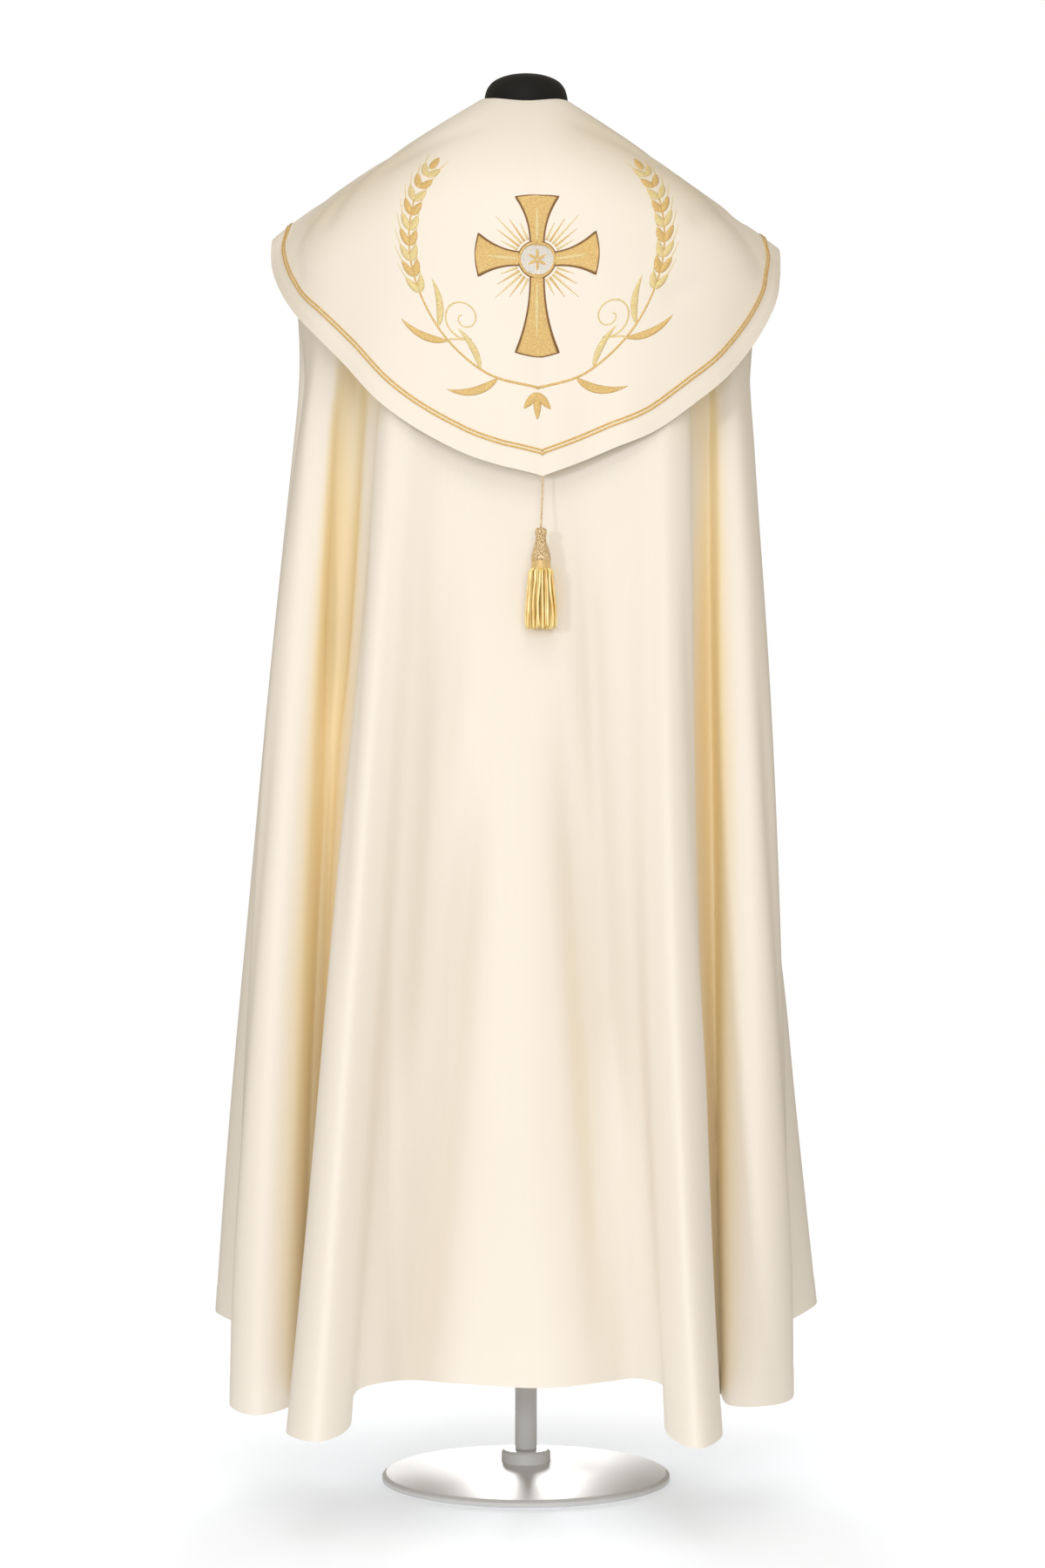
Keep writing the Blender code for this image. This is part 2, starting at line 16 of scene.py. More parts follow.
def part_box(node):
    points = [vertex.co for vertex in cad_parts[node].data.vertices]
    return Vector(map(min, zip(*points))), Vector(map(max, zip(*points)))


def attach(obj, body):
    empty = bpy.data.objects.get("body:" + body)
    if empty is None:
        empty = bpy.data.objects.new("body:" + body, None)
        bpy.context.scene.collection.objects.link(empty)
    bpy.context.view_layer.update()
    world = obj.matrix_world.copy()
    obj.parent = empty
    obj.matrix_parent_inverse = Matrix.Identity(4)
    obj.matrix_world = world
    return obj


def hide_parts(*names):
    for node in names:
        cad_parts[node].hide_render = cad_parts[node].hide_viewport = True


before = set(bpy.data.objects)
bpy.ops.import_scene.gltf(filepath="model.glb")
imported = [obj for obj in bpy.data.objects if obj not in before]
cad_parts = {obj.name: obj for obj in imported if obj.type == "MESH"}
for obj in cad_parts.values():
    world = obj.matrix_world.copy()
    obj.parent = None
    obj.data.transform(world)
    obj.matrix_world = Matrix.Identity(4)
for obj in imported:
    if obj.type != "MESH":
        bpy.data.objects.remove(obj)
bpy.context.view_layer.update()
MM = 0.001

# ------------------------------------------------------------------------------------------ Studio
# A white photographer's sweep, with the camera level with the middle of the cope. A small key lamp is
# at the camera's left, a large soft one above the camera, one overhead and one before the open front.
CAMERA_PLACE = (-0.004, -4.0, 0.797)
CAMERA_LENS = 80
DAYLIGHT = (0.95, 1.0, 1.09)
SKY_FROM = (-0.02, -0.90, 0.45)  # where most of the soft light comes from: the camera's side, and above
SKY_MOST, SKY_LEAST = 0.69, 0.18
SKY_TINT = (1.0, 0.92, 0.785)
FLOOR_RADIUS = 1.3
FLOOR_DROP = 0.5 * MM  # the paper lies this far under the stand
FLOOR_FADE = (0.25, 1.2)  # how far from the middle the paper starts to fade out, and is gone
MIX_FIRST, MIX_SECOND, MIX_RESULT = 6, 7, 2  # a Mix node's colour sockets

bpy.ops.object.camera_add(location=CAMERA_PLACE, rotation=(math.pi / 2, 0, 0))
bpy.context.object.data.lens = CAMERA_LENS
bpy.context.scene.camera = bpy.context.object
bpy.context.scene.view_settings.view_transform = "Standard"


def lamp(name, place, aim, size, power, tint=(1, 1, 1)):
    bpy.ops.object.light_add(type="AREA", location=place)
    made = bpy.context.object
    made.name = name
    made.rotation_euler = (Vector(aim) - Vector(place)).to_track_quat("-Z", "Y").to_euler()
    made.data.size = size
    made.data.energy = power
    made.data.color = tint


lamp("key_lamp", (-1.9, -3.8, 1.35), (0, 0, 1.0), 0.4, 27, DAYLIGHT)
lamp("camera_lamp", (0.4, -4.6, 1.6), (0, 0, 0.8), 1.8, 40, DAYLIGHT)
lamp("top_lamp", (0, -2.2, 3.5), (0, 0, 1.4), 1.4, 11)
lamp("front_lamp", (-0.1, 3.7, 1.45), (0, 0, 0.8), 0.9, 90)


def add_node(tree, kind, values=(), **settings):
    """A new node with its settings, and the input values given by name or number."""
    made = tree.nodes.new(kind)
    for key, value in settings.items():
        setattr(made, key, value)
    for key, value in dict(values).items():
        made.inputs[key].default_value = value
    return made


def add_blend(tree, share, first, second):
    """A colour output that runs from first to second. Each is a colour or another colour output."""
    made = add_node(tree, "ShaderNodeMix", data_type="RGBA")
    tree.links.new(share, made.inputs["Factor"])
    for socket, colour in ((made.inputs[MIX_FIRST], first), (made.inputs[MIX_SECOND], second)):
        if isinstance(colour, tuple):
            socket.default_value = (*colour, 1)
        else:
            tree.links.new(colour, socket)
    return made.outputs[MIX_RESULT]


def add_range(tree, value, low, high, start=0.0, end=1.0):
    """A value between start and end made to run from low to high."""
    limits = {"From Min": start, "From Max": end, "To Min": low, "To Max": high}
    made = add_node(tree, "ShaderNodeMapRange", limits)
    tree.links.new(value, made.inputs["Value"])
    return made.outputs["Result"]


def add_noise(tree, coords, scale, detail=2.0, stretch=(1, 1, 1)):
    """A noise texture's value output, stretched along the coordinates' axes."""
    mapping = add_node(tree, "ShaderNodeMapping", {"Scale": stretch})
    tree.links.new(coords, mapping.inputs["Vector"])
    noise = add_node(tree, "ShaderNodeTexNoise", {"Scale": scale, "Detail": detail})
    tree.links.new(mapping.outputs["Vector"], noise.inputs["Vector"])
    return noise.outputs["Fac"]


def add_bump(tree, shader, height, strength, distance):
    """Raises the surface by a height output. Called again, it raises on top of what is there."""
    bump = add_node(tree, "ShaderNodeBump", {"Strength": strength, "Distance": distance})
    tree.links.new(height, bump.inputs["Height"])
    if shader.inputs["Normal"].is_linked:
        tree.links.new(shader.inputs["Normal"].links[0].from_socket, bump.inputs["Normal"])
    tree.links.new(bump.outputs["Normal"], shader.inputs["Normal"])


def new_finish(name, sockets):
    """A material with those sockets set: (material, node tree, shader, coordinates to choose from)."""
    made = bpy.data.materials.new(name)
    made.use_nodes = True
    tree = made.node_tree
    shader = tree.nodes["Principled BSDF"]
    for socket, value in sockets.items():
        shader.inputs[socket].default_value = value
    return made, tree, shader, add_node(tree, "ShaderNodeTexCoord").outputs


def name_it(name):
    """The object just added, named, with its place moved into its mesh."""
    bpy.ops.object.transform_apply(location=True, rotation=True, scale=True)
    made = bpy.context.object
    made.name = made.data.name = name
    return made


sky = bpy.data.worlds.new("white_sweep")
sky.use_nodes = True
bpy.context.scene.world = sky
tree = sky.node_tree
way = add_node(tree, "ShaderNodeTexCoord")
towards = add_node(tree, "ShaderNodeVectorMath", {1: SKY_FROM}, operation="DOT_PRODUCT")
tree.links.new(way.outputs["Generated"], towards.inputs[0])
level = add_range(tree, towards.outputs["Value"], SKY_LEAST, SKY_MOST, -1, 0.5)
to_camera = add_node(tree, "ShaderNodeLightPath").outputs["Is Camera Ray"]
seen = add_node(tree, "ShaderNodeMapRange", {"To Max": 1.0})
tree.links.new(to_camera, seen.inputs["Value"])
tree.links.new(level, seen.inputs["To Min"])
sky_light = tree.nodes["Background"]
tree.links.new(add_blend(tree, to_camera, SKY_TINT, (1.0, 1.0, 1.0)), sky_light.inputs["Color"])
tree.links.new(seen.outputs["Result"], sky_light.inputs["Strength"])

bpy.ops.mesh.primitive_circle_add(
    vertices=64, radius=FLOOR_RADIUS, fill_type="NGON", location=(0, 0, -FLOOR_DROP)
)
floor = name_it("floor")
paper, tree, shader, place = new_finish(
    "floor_paper",
    {
        "Base Color": (0.83, 0.89, 0.98, 1),
        "Roughness": 0.9,
        "Specular IOR Level": 0.1,
        "Emission Color": (1, 1, 1, 1),
        "Emission Strength": 0.3,
    },
)
middle = add_node(tree, "ShaderNodeVectorMath", operation="LENGTH")
tree.links.new(place["Object"], middle.inputs[0])
tree.links.new(add_range(tree, middle.outputs["Value"], 1, 0, *FLOOR_FADE), shader.inputs["Alpha"])
add_bump(tree, shader, add_noise(tree, place["Object"], 300), 0.1, 0.0005)
floor.data.materials.append(paper)

# ------------------------------------------------------------------------------------------- Stand
# A round steel plate with a raised hub, and a plain steel tube that drops into the hub and carries the
# form. Both are powder-coated light grey, with the fine orange-peel that such a coat has.
BASE_STEPS = [  # radius and height of each turn of the plate, from its rim to the top of its hub
    (0.165, 0.005),
    (0.161, 0.008),
    (0.0908, 0.015),
    (0.028, 0.020),
    (0.028, 0.031),
    (0.025, 0.034),
]
POLE_RADIUS = 0.0125
STAND_EDGE = 0.7 * MM  # how far the stand's corners are rounded
STAND_SMOOTH = 35  # degrees under which an edge is shaded smooth


def nothing_selected():
    bpy.ops.object.select_all(action="DESELECT")


def add_piece(made, finish, slot, *nodes):
    """Gives a piece its finish, rides it on the frame and hides the nodes it stands for; its slot is not
    used.
    """
    made.data.materials.append(finish)
    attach(made, "root")
    if nodes:
        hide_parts(*nodes)


def soften_edges(sharpness):
    """Rounds off the edges of the piece in hand that are sharper than so many degrees, and shades it."""
    bpy.ops.object.mode_set(mode="EDIT")
    bpy.ops.mesh.select_mode(type="EDGE")
    bpy.ops.mesh.select_all(action="DESELECT")
    bpy.ops.mesh.edges_select_sharp(sharpness=math.radians(sharpness))
    bpy.ops.mesh.bevel(offset=STAND_EDGE, segments=3, affect="EDGES")
    bpy.ops.object.mode_set(mode="OBJECT")
    bpy.ops.object.shade_smooth_by_angle(angle=math.radians(STAND_SMOOTH))


nothing_selected()
radius, height = BASE_STEPS[0]
bpy.ops.mesh.primitive_cylinder_add(vertices=96, radius=radius, depth=height, location=(0, 0, height / 2))
base = name_it("base_plate")
bpy.ops.object.mode_set(mode="EDIT")
bpy.ops.mesh.select_mode(type="FACE")
bpy.ops.mesh.select_all(action="DESELECT")
work = bmesh.from_edit_mesh(base.data)
for face in work.faces:
    face.select = face.normal.z > 0.9
bmesh.update_edit_mesh(base.data)
for (last_radius, last_height), (radius, height) in zip(BASE_STEPS, BASE_STEPS[1:]):
    bpy.ops.mesh.extrude_region_move(TRANSFORM_OT_translate={"value": (0, 0, height - last_height)})
    share = radius / last_radius
    bpy.ops.transform.resize(value=(share, share, 1), center_override=(0, 0, height))
soften_edges(25)

nothing_selected()
low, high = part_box("stand_pole")
bpy.ops.mesh.primitive_cylinder_add(
    vertices=64, radius=POLE_RADIUS, depth=high.z - low.z, location=(0, 0, (high.z + low.z) / 2)
)
pole = name_it("pole_tube")
soften_edges(60)

stand_paint, tree, shader, place = new_finish("stand_powder_coat", {"Roughness": 0.42})
dust = add_noise(tree, place["Object"], 14, 5)
tree.links.new(add_blend(tree, dust, (0.56, 0.56, 0.55), (0.66, 0.66, 0.65)), shader.inputs["Base Color"])
tree.links.new(add_range(tree, dust, 0.36, 0.5), shader.inputs["Roughness"])
add_bump(tree, shader, add_noise(tree, place["Object"], 900, 2), 0.25, 0.0003)
for piece, node in ((base, "stand_base"), (pole, "stand_pole")):
    add_piece(piece, stand_paint, "stand_paint", node)

# --------------------------------------------------------------------------------------- Dress form
# A limbless foam torso with a capped neck, covered all over in stretched black jersey. Its shoulders
# carry the yoke of the cope, so both follow the same lines, a wall's thickness apart.
COPE_WALL = 1.6 * MM
FORM_CLEAR = COPE_WALL / 2 + 0.8 * MM  # from the cope's middle surface to the form, where the cope rests
FORM_REST_SHARE = 0.34  # share of the yoke that the form carries
FORM_SIDE_CLEAR, FORM_BACK_CLEAR = 0.055, 0.030
NECK_HALF_WIDTH, NECK_HALF_DEPTH = 0.0482, 0.0555
NECK_CAP = [  # height, and the share of the neck's width and depth
    (1.5780, 1.00),
    (1.5860, 0.98),
    (1.5945, 0.92),
    (1.6015, 0.79),
    (1.6066, 0.56),
    (1.6088, 0.30),
]
TORSO = [  # height, half width, half depth
    (0.880, 0.160, 0.110),
    (0.900, 0.170, 0.119),
    (0.990, 0.154, 0.110),
    (1.090, 0.142, 0.102),
    (1.200, 0.160, 0.114),
    (1.300, 0.176, 0.121),
]
YOKE = [  # plan angle, ring radius, ring height, fall in degrees, break radius, break height
    (-180, 0.063, 1.546, 35, 0.134, 1.350),
    (-135, 0.058, 1.562, 34, 0.178, 1.365),
    (-90, 0.0525, 1.5760, 31.5, 0.262, 1.370),
    (-45, 0.056, 1.572, 34, 0.200, 1.385),
    (0, 0.060, 1.5655, 37, 0.166, 1.395),
    (45, 0.056, 1.571, 35, 0.200, 1.385),
    (90, 0.0525, 1.5710, 36.0, 0.262, 1.360),
    (135, 0.058, 1.561, 34, 0.178, 1.365),
    (180, 0.063, 1.546, 35, 0.134, 1.350),
]
FORM_SIDES = 96
FORM_STEPS, SHOULDER_ROWS, NECK_STEPS = 6, 40, 4  # rings to a gap of the torso, on the shoulders, on the cap
FORM_UNDER = (0.4, 0.8, 0.97)  # shares of the lowest ring that close the form underneath
FORM_TOP_SHARE = 0.06  # share of the yoke's fall where the form's shoulders meet its neck
NECK_DOME = 0.4 * MM  # how far the cap's crown stands over its last ring


def smooth(knots, rows, at):
    """A curve through rows of values at the knots. Each slope comes from the rows on either side."""
    slopes = np.gradient(rows, knots, axis=0)
    i = np.clip(np.searchsorted(knots, at, side="right") - 1, 0, len(knots) - 2)
    gap = (knots[i + 1] - knots[i])[:, None]
    s = (at - knots[i])[:, None] / gap
    start = rows[i] * (1 + 2 * s) + slopes[i] * gap * s
    end = rows[i + 1] * (3 - 2 * s) + slopes[i + 1] * gap * (s - 1)
    return start * (1 - s) ** 2 + end * s**2


def ramp(x):
    x = np.clip(x, 0, 1)
    return x * x * (3 - 2 * x)


def unit(vectors):
    return vectors / np.maximum(np.linalg.norm(vectors, axis=-1, keepdims=True), 1e-12)


def profile(start, slope, corner_r, end, share, firm=0.8):
    """(r, z) at a share of the way along: a straight fall from start to a corner, rolled down to end.

    firm is how much of each straight stretch is kept: at 1 it runs right up to the corner."""
    corner = (corner_r, start[1] - np.tan(np.radians(slope)) * (corner_r - start[0]))
    found = []
    for first, turn, last in zip(start, corner, end):
        out = first + firm * (turn - first)
        back = last + firm * (turn - last)
        found.append(
            first * (1 - share) ** 3
            + 3 * out * share * (1 - share) ** 2
            + 3 * back * share**2 * (1 - share)
            + last * share**3
        )
    return found


def in_plan(angle, r, z):
    turn = np.radians(angle)
    return np.stack([r * np.sin(turn), -r * np.cos(turn), z + 0 * turn], axis=-1)


def yoke_sizes(angle):
    """Ring radius, ring height, fall, break radius and break height at each angle."""
    table = np.array(YOKE)
    knots = np.concatenate([table[:-1, 0] - 360, table[:, 0], table[1:, 0] + 360])
    rows = np.concatenate([table[:-1, 1:], table[:, 1:], table[1:, 1:]])
    return smooth(knots, rows, np.asarray(angle, float)).T


def yoke(angle, share):
    """Points of the cope's yoke: share 0 is the neck ring and 1 is where the folds start."""
    ring_r, ring_z, slope, break_r, break_z = yoke_sizes(angle)
    r, z = profile((ring_r, ring_z), slope, break_r, (break_r, break_z), share)
    return in_plan(angle, r, z)


def oval(angle, half_width, half_depth, z):
    turn = np.radians(angle)
    return in_plan(angle, 1 / np.sqrt((np.sin(turn) / half_width) ** 2 + (np.cos(turn) / half_depth) ** 2), z)


def shoulder(angle, share):
    """The form's ring under the yoke at one share of the yoke's fall."""
    turn = np.radians(angle)
    fall = yoke(angle, min(share + 0.01, 1.0)) - yoke(angle, share - 0.01)
    inward = unit(np.cross(np.stack([np.cos(turn), np.sin(turn), 0 * turn], axis=-1), fall))
    far = FORM_BACK_CLEAR + (FORM_SIDE_CLEAR - FORM_BACK_CLEAR) * np.sin(turn)[:, None] ** 2
    grown = ramp((share - FORM_REST_SHARE) / (1 - FORM_REST_SHARE))
    return yoke(angle, share) + inward * (FORM_CLEAR + (far - FORM_CLEAR) * grown)


def between(rings, steps, gaps):
    """Rings on smooth curves through the given ones, with so many steps to each of the first gaps."""
    rings = np.array(rings)
    at = np.linspace(0, gaps, gaps * steps + 1)[:-1]
    flat = smooth(np.arange(len(rings), dtype=float), rings.reshape(len(rings), -1), at)
    return list(flat.reshape(len(at), *rings.shape[1:]))


def ring_faces(rings, sides, capped=True):
    """Quads between closed rings of so many points each, and a face over each end if it is capped."""
    at = np.arange(rings * sides).reshape(rings, sides)
    on = np.roll(at, -1, axis=1)
    quads = np.stack([at[:-1], on[:-1], on[1:], at[1:]], axis=-1).reshape(-1, 4).tolist()
    return quads + [at[0, ::-1].tolist(), at[-1].tolist()] * capped


def new_mesh(name, points, faces, uvs=None):
    """An object of those points and faces, smooth, with a UV for each point if any are given."""
    mesh = bpy.data.meshes.new(name)
    mesh.from_pydata(np.asarray(points).tolist(), [], faces)
    if uvs is not None:
        lay_uvs(mesh, uvs)
    mesh.shade_smooth()
    made = bpy.data.objects.new(name, mesh)
    bpy.context.scene.collection.objects.link(made)
    return made


def lay_uvs(mesh, uvs):
    layer = mesh.uv_layers.active or mesh.uv_layers.new(name="cloth")
    corners = np.empty(len(mesh.loops), dtype=np.int32)
    mesh.loops.foreach_get("vertex_index", corners)
    layer.data.foreach_set("uv", np.asarray(uvs)[corners].ravel())


def add_wave(tree, coords, values, direction="X"):
    """The value output of a wave texture whose bands cross one direction."""
    wave = add_node(tree, "ShaderNodeTexWave", values, bands_direction=direction)
    tree.links.new(coords, wave.inputs["Vector"])
    return wave.outputs["Fac"]


angles = np.arange(FORM_SIDES) * 360 / FORM_SIDES - 180
body = [oval(angles, half_width, half_depth, z) for z, half_width, half_depth in TORSO]
upper = [shoulder(angles, share) for share in np.linspace(1.0, FORM_TOP_SHARE, SHOULDER_ROWS)]
neck = [oval(angles, NECK_HALF_WIDTH * share, NECK_HALF_DEPTH * share, z) for z, share in NECK_CAP]
foot = neck[0].copy()
foot[:, 2] = yoke_sizes(angles)[1] - FORM_CLEAR
crown = neck[-1] * (0, 0, 1) + (0, 0, NECK_DOME)
rings = (
    [body[0] * (share, share, 1) for share in FORM_UNDER]
    + between(body + upper[:3], FORM_STEPS, len(body))
    + upper
    + [foot, (foot + neck[0]) / 2]
    + between(neck + [crown], NECK_STEPS, len(neck))
)
points = np.concatenate([*rings, [rings[0].mean(axis=0), crown[0]]])
faces = ring_faces(len(rings), FORM_SIDES, capped=False)
last = (len(rings) - 1) * FORM_SIDES
for i in range(FORM_SIDES):
    j = (i + 1) % FORM_SIDES
    faces += [(i, len(points) - 2, j), (last + i, last + j, len(points) - 1)]
form = new_mesh("form_jersey", points, faces)

jersey, tree, shader, place = new_finish(
    "black_jersey",
    {"Roughness": 0.66, "Sheen Weight": 0.04, "Sheen Roughness": 0.4, "Specular IOR Level": 0.2},
)
rubbed = add_noise(tree, place["Object"], 22, 4)
black = add_blend(tree, rubbed, (0.005, 0.0047, 0.0044), (0.011, 0.0103, 0.0098))
tree.links.new(black, shader.inputs["Base Color"])
add_bump(tree, shader, add_noise(tree, place["Object"], 700, 2, (1, 1, 0.5)), 0.2, 0.0002)
wales = add_wave(tree, place["Object"], {"Scale": 210, "Distortion": 1.5})
add_bump(tree, shader, wales, 0.1, 0.0002)
add_piece(form, jersey, "form_cover", "form_torso")

# -------------------------------------------------------------------------------------------- Cope
# Near enough a half circle of cream satin on a light interlining. Its straight edge makes the two fronts
# and its middle lies on the shoulders. It hangs in deep flutes, hemmed all round by hand.
HIGH, MID, HEM = 0.15, 0.5, 1.0  # shares of the drop where each fold's place is given
FOLDS = [  # plan angle at the yoke, high x, y, middle x, y, hem x, y, z, cells to the next
    (-167, -0.033, 0.145, -0.050, 0.240, -0.075, 0.345, 0.150, 2),
    (-153, -0.078, 0.150, -0.095, 0.258, -0.112, 0.382, 0.150, 2),
    (-140, -0.122, 0.138, -0.140, 0.255, -0.158, 0.392, 0.148, 3),
    (-124, -0.165, 0.104, -0.178, 0.180, -0.195, 0.262, 0.152, 3),
    (-113, -0.215, 0.096, -0.245, 0.215, -0.278, 0.345, 0.150, 3),
    (-104, -0.232, 0.050, -0.243, 0.118, -0.262, 0.185, 0.154, 3),
    (-97, -0.261, 0.030, -0.292, 0.112, -0.340, 0.215, 0.170, 2),
    (-90, -0.266, 0.000, -0.312, 0.060, -0.368, 0.140, 0.172, 3),
    (-84, -0.250, -0.028, -0.268, -0.040, -0.288, -0.030, 0.156, 3),
    (-77, -0.257, -0.064, -0.296, -0.150, -0.323, -0.200, 0.120, 2),
    (-71, -0.246, -0.090, -0.270, -0.177, -0.293, -0.236, 0.115, 2),
    (-66, -0.224, -0.093, -0.241, -0.166, -0.263, -0.215, 0.119, 2),
    (-61, -0.205, -0.085, -0.225, -0.122, -0.247, -0.158, 0.126, 3),
    (-53, -0.166, -0.118, -0.194, -0.185, -0.236, -0.268, 0.124, 2),
    (-47, -0.163, -0.155, -0.197, -0.242, -0.249, -0.352, 0.117, 2),
    (-41, -0.150, -0.172, -0.176, -0.262, -0.217, -0.388, 0.115, 2),
    (-36, -0.132, -0.175, -0.154, -0.250, -0.187, -0.352, 0.122, 2),
    (-31, -0.110, -0.173, -0.132, -0.226, -0.181, -0.280, 0.149, 2),
    (-25, -0.086, -0.172, -0.106, -0.219, -0.146, -0.262, 0.155, 2),
    (-13, -0.045, -0.174, -0.058, -0.218, -0.072, -0.271, 0.155, 3),
    (1, 0.005, -0.177, 0.005, -0.222, 0.018, -0.285, 0.153, 3),
    (15, 0.055, -0.172, 0.062, -0.215, 0.092, -0.264, 0.156, 3),
    (25, 0.090, -0.171, 0.092, -0.218, 0.122, -0.260, 0.158, 2),
    (31, 0.114, -0.173, 0.112, -0.228, 0.149, -0.280, 0.153, 2),
    (37, 0.137, -0.175, 0.133, -0.253, 0.148, -0.355, 0.119, 2),
    (42, 0.158, -0.172, 0.156, -0.266, 0.176, -0.398, 0.110, 2),
    (48, 0.180, -0.152, 0.183, -0.240, 0.204, -0.358, 0.115, 2),
    (54, 0.180, -0.116, 0.180, -0.185, 0.198, -0.265, 0.124, 3),
    (62, 0.204, -0.083, 0.207, -0.134, 0.213, -0.180, 0.129, 2),
    (67, 0.216, -0.092, 0.217, -0.174, 0.221, -0.220, 0.123, 2),
    (72, 0.238, -0.092, 0.249, -0.185, 0.255, -0.232, 0.124, 2),
    (78, 0.257, -0.060, 0.276, -0.148, 0.291, -0.188, 0.126, 3),
    (84, 0.250, -0.022, 0.259, -0.034, 0.268, -0.020, 0.158, 3),
    (91, 0.256, 0.006, 0.286, 0.070, 0.3455, 0.150, 0.180, 2),
    (98, 0.250, 0.036, 0.273, 0.120, 0.318, 0.222, 0.176, 3),
    (105, 0.226, 0.052, 0.232, 0.120, 0.246, 0.188, 0.158, 3),
    (114, 0.212, 0.094, 0.238, 0.212, 0.268, 0.340, 0.152, 3),
    (125, 0.162, 0.104, 0.173, 0.180, 0.188, 0.262, 0.152, 3),
    (141, 0.120, 0.138, 0.137, 0.255, 0.154, 0.390, 0.148, 2),
    (153, 0.078, 0.150, 0.094, 0.258, 0.110, 0.380, 0.150, 2),
    (167, 0.033, 0.145, 0.050, 0.240, 0.075, 0.345, 0.150, 0),
]
COPE_FINE = 4  # mesh columns to each of the cells above
YOKE_ROWS = np.linspace(0, 0.96, 25)
HANG_ROWS = np.concatenate([np.linspace(0, 0.96, 72, endpoint=False), np.linspace(0.96, 1.0, 10)])

# Soft troughs in the cloth: where each starts and ends, as a plan angle at the yoke and a share of the
# whole length from neck to hem, its half width there, and how deep it is. A ridge has a depth below 0.
TROUGHS = [  # start angle, share, end angle, share, start half width, end half width, depth
    (-58.8, 0.14, -59.5, 0.54, 0.015, 0.014, 0.015),
    (-59, 0.36, -60, 0.88, 0.011, 0.011, 0.004),
    (-28, 0.24, -22, 1.02, 0.014, 0.022, 0.005),
    (-19, 0.34, -25, 0.82, 0.014, 0.024, 0.007),
    (-12, 0.50, -21, 1.04, 0.018, 0.032, 0.013),
    (-6, 0.42, -3, 0.92, 0.030, 0.045, -0.004),
    (9, 0.46, 17, 1.02, 0.016, 0.028, 0.013),
    (17, 0.32, 23, 0.86, 0.013, 0.020, 0.009),
    (22, 0.70, 13, 1.06, 0.010, 0.016, -0.003),
    (-49, 0.30, -44, 0.72, 0.010, 0.014, 0.003),
    (-74, 0.44, -79, 0.96, 0.012, 0.018, 0.004),
    (46, 0.34, 50, 0.78, 0.010, 0.014, 0.003),
    (74, 0.40, 80, 0.95, 0.012, 0.018, 0.004),
    (-92, 0.36, -99, 0.84, 0.014, 0.022, 0.004),
    (-118, 0.48, -110, 1.00, 0.012, 0.020, 0.004),
    (-146, 0.40, -150, 0.93, 0.012, 0.018, 0.003),
    (-130, 0.30, -134, 0.66, 0.010, 0.014, 0.003),
    (95, 0.34, 90, 0.78, 0.014, 0.022, 0.004),
    (119, 0.50, 111, 1.02, 0.012, 0.020, 0.004),
    (147, 0.38, 151, 0.90, 0.012, 0.018, 0.003),
    (131, 0.30, 136, 0.70, 0.010, 0.014, 0.003),
]
TROUGH_IN, TROUGH_OUT = 0.35, 0.25  # shares of a trough's length where it deepens and where it runs out
TROUGH_END = 1.0001  # the share at which it has run out, unless it runs on past the hem
# Painted shade: places shut in by other cloth get a warmer colour, more so lower down; these give its
# strength at each height.
PAINTED_SHADE_HEIGHTS, PAINTED_SHADE_SHARES = (0.15, 0.70, 1.10), (0.6, 1.0, 1.45)  # how strong a shut-in place's tint is
HOOD_TIP = 5  # plan angle of the hood's point
UNDER_HOOD = [  # angle away from the hood's point, and the height of the hood's edge there
    (0, 1.132),
    (25, 1.165),
    (45, 1.205),
    (60, 1.270),
    (75, 1.345),
    (90, 1.410),
    (175, 1.425),
]
# Painted shadow of the hood: a warmer band of colour on the cope just under the hood's edge, fading in away
# from its point.
UNDER_HOOD_PAINTED_SHADOW, UNDER_HOOD_HALF = 0.42, 0.07  # strength and half height of the tint along that edge
BESIDE_TIP, BESIDE_TIP_FADE = 8, 45  # plan angles over which that tint comes in, away from the point
# Painted shadow of the tassel: a warmer patch of colour on the cope beside it.
TASSEL_PAINTED_SHADOW, TASSEL_PAINTED_SHADOW_AT, TASSEL_PAINTED_SHADOW_HALF = 0.5, (0.032, 1.005), (0.015, 0.045)  # beside the tassel
# Painted shade in the troughs: a warmer colour and a darkening, for each metre of a trough's depth.
PAINTED_SHADE_IN_TROUGHS, PAINTED_DIMMING_IN_TROUGHS = 14, 20  # to each metre of a trough's depth
HEM_DEEP = 0.030  # how far the hem is turned up
HEM_THICK = 0.35 * MM
EDGE_STEP = 3 * MM  # width of the step where a turned-up edge ends
SWAY, SWAY_FROM, SWAY_FADE = 1.2 * MM, 1.30, 0.25  # how far the cloth wanders, below which height
CLOTH_SMOOTH = 50  # degrees under which a fold of the mesh is shaded smooth
FAN_TURN = 2.39996  # radians from one ray of a fan to the next, which spreads them evenly
CREAM = (0.90, 0.845, 0.775)
# The colours of the painted shade: CREAM_DEEP is the warmer colour in shut-in folds, which the random slubs
# also lean towards a little, and CREAM_DIM is the darkening in the troughs and the hood's shoulder bands.
CREAM_DEEP = (0.95, 0.785, 0.46)
CREAM_DIM = (0.48, 0.40, 0.27)


def run_lengths(points, axis=0):
    """How far each point lies along its line, or along its row or column of a grid."""
    steps = np.linalg.norm(np.diff(points, axis=axis), axis=-1)
    return np.insert(steps.cumsum(axis=axis), 0, 0, axis=axis)


def outward(grid):
    """The way out of each point of a grid whose rows run down and whose columns run round by the back."""
    return unit(np.cross(np.gradient(grid, axis=0), np.gradient(grid, axis=1)))


def turned_up(grid, deep, thick):
    """How far each point of a grid stands out over an edge that is turned up behind its last rows."""
    down = run_lengths(grid)
    return ramp((deep - (down[-1] - down)) / EDGE_STEP) * thick


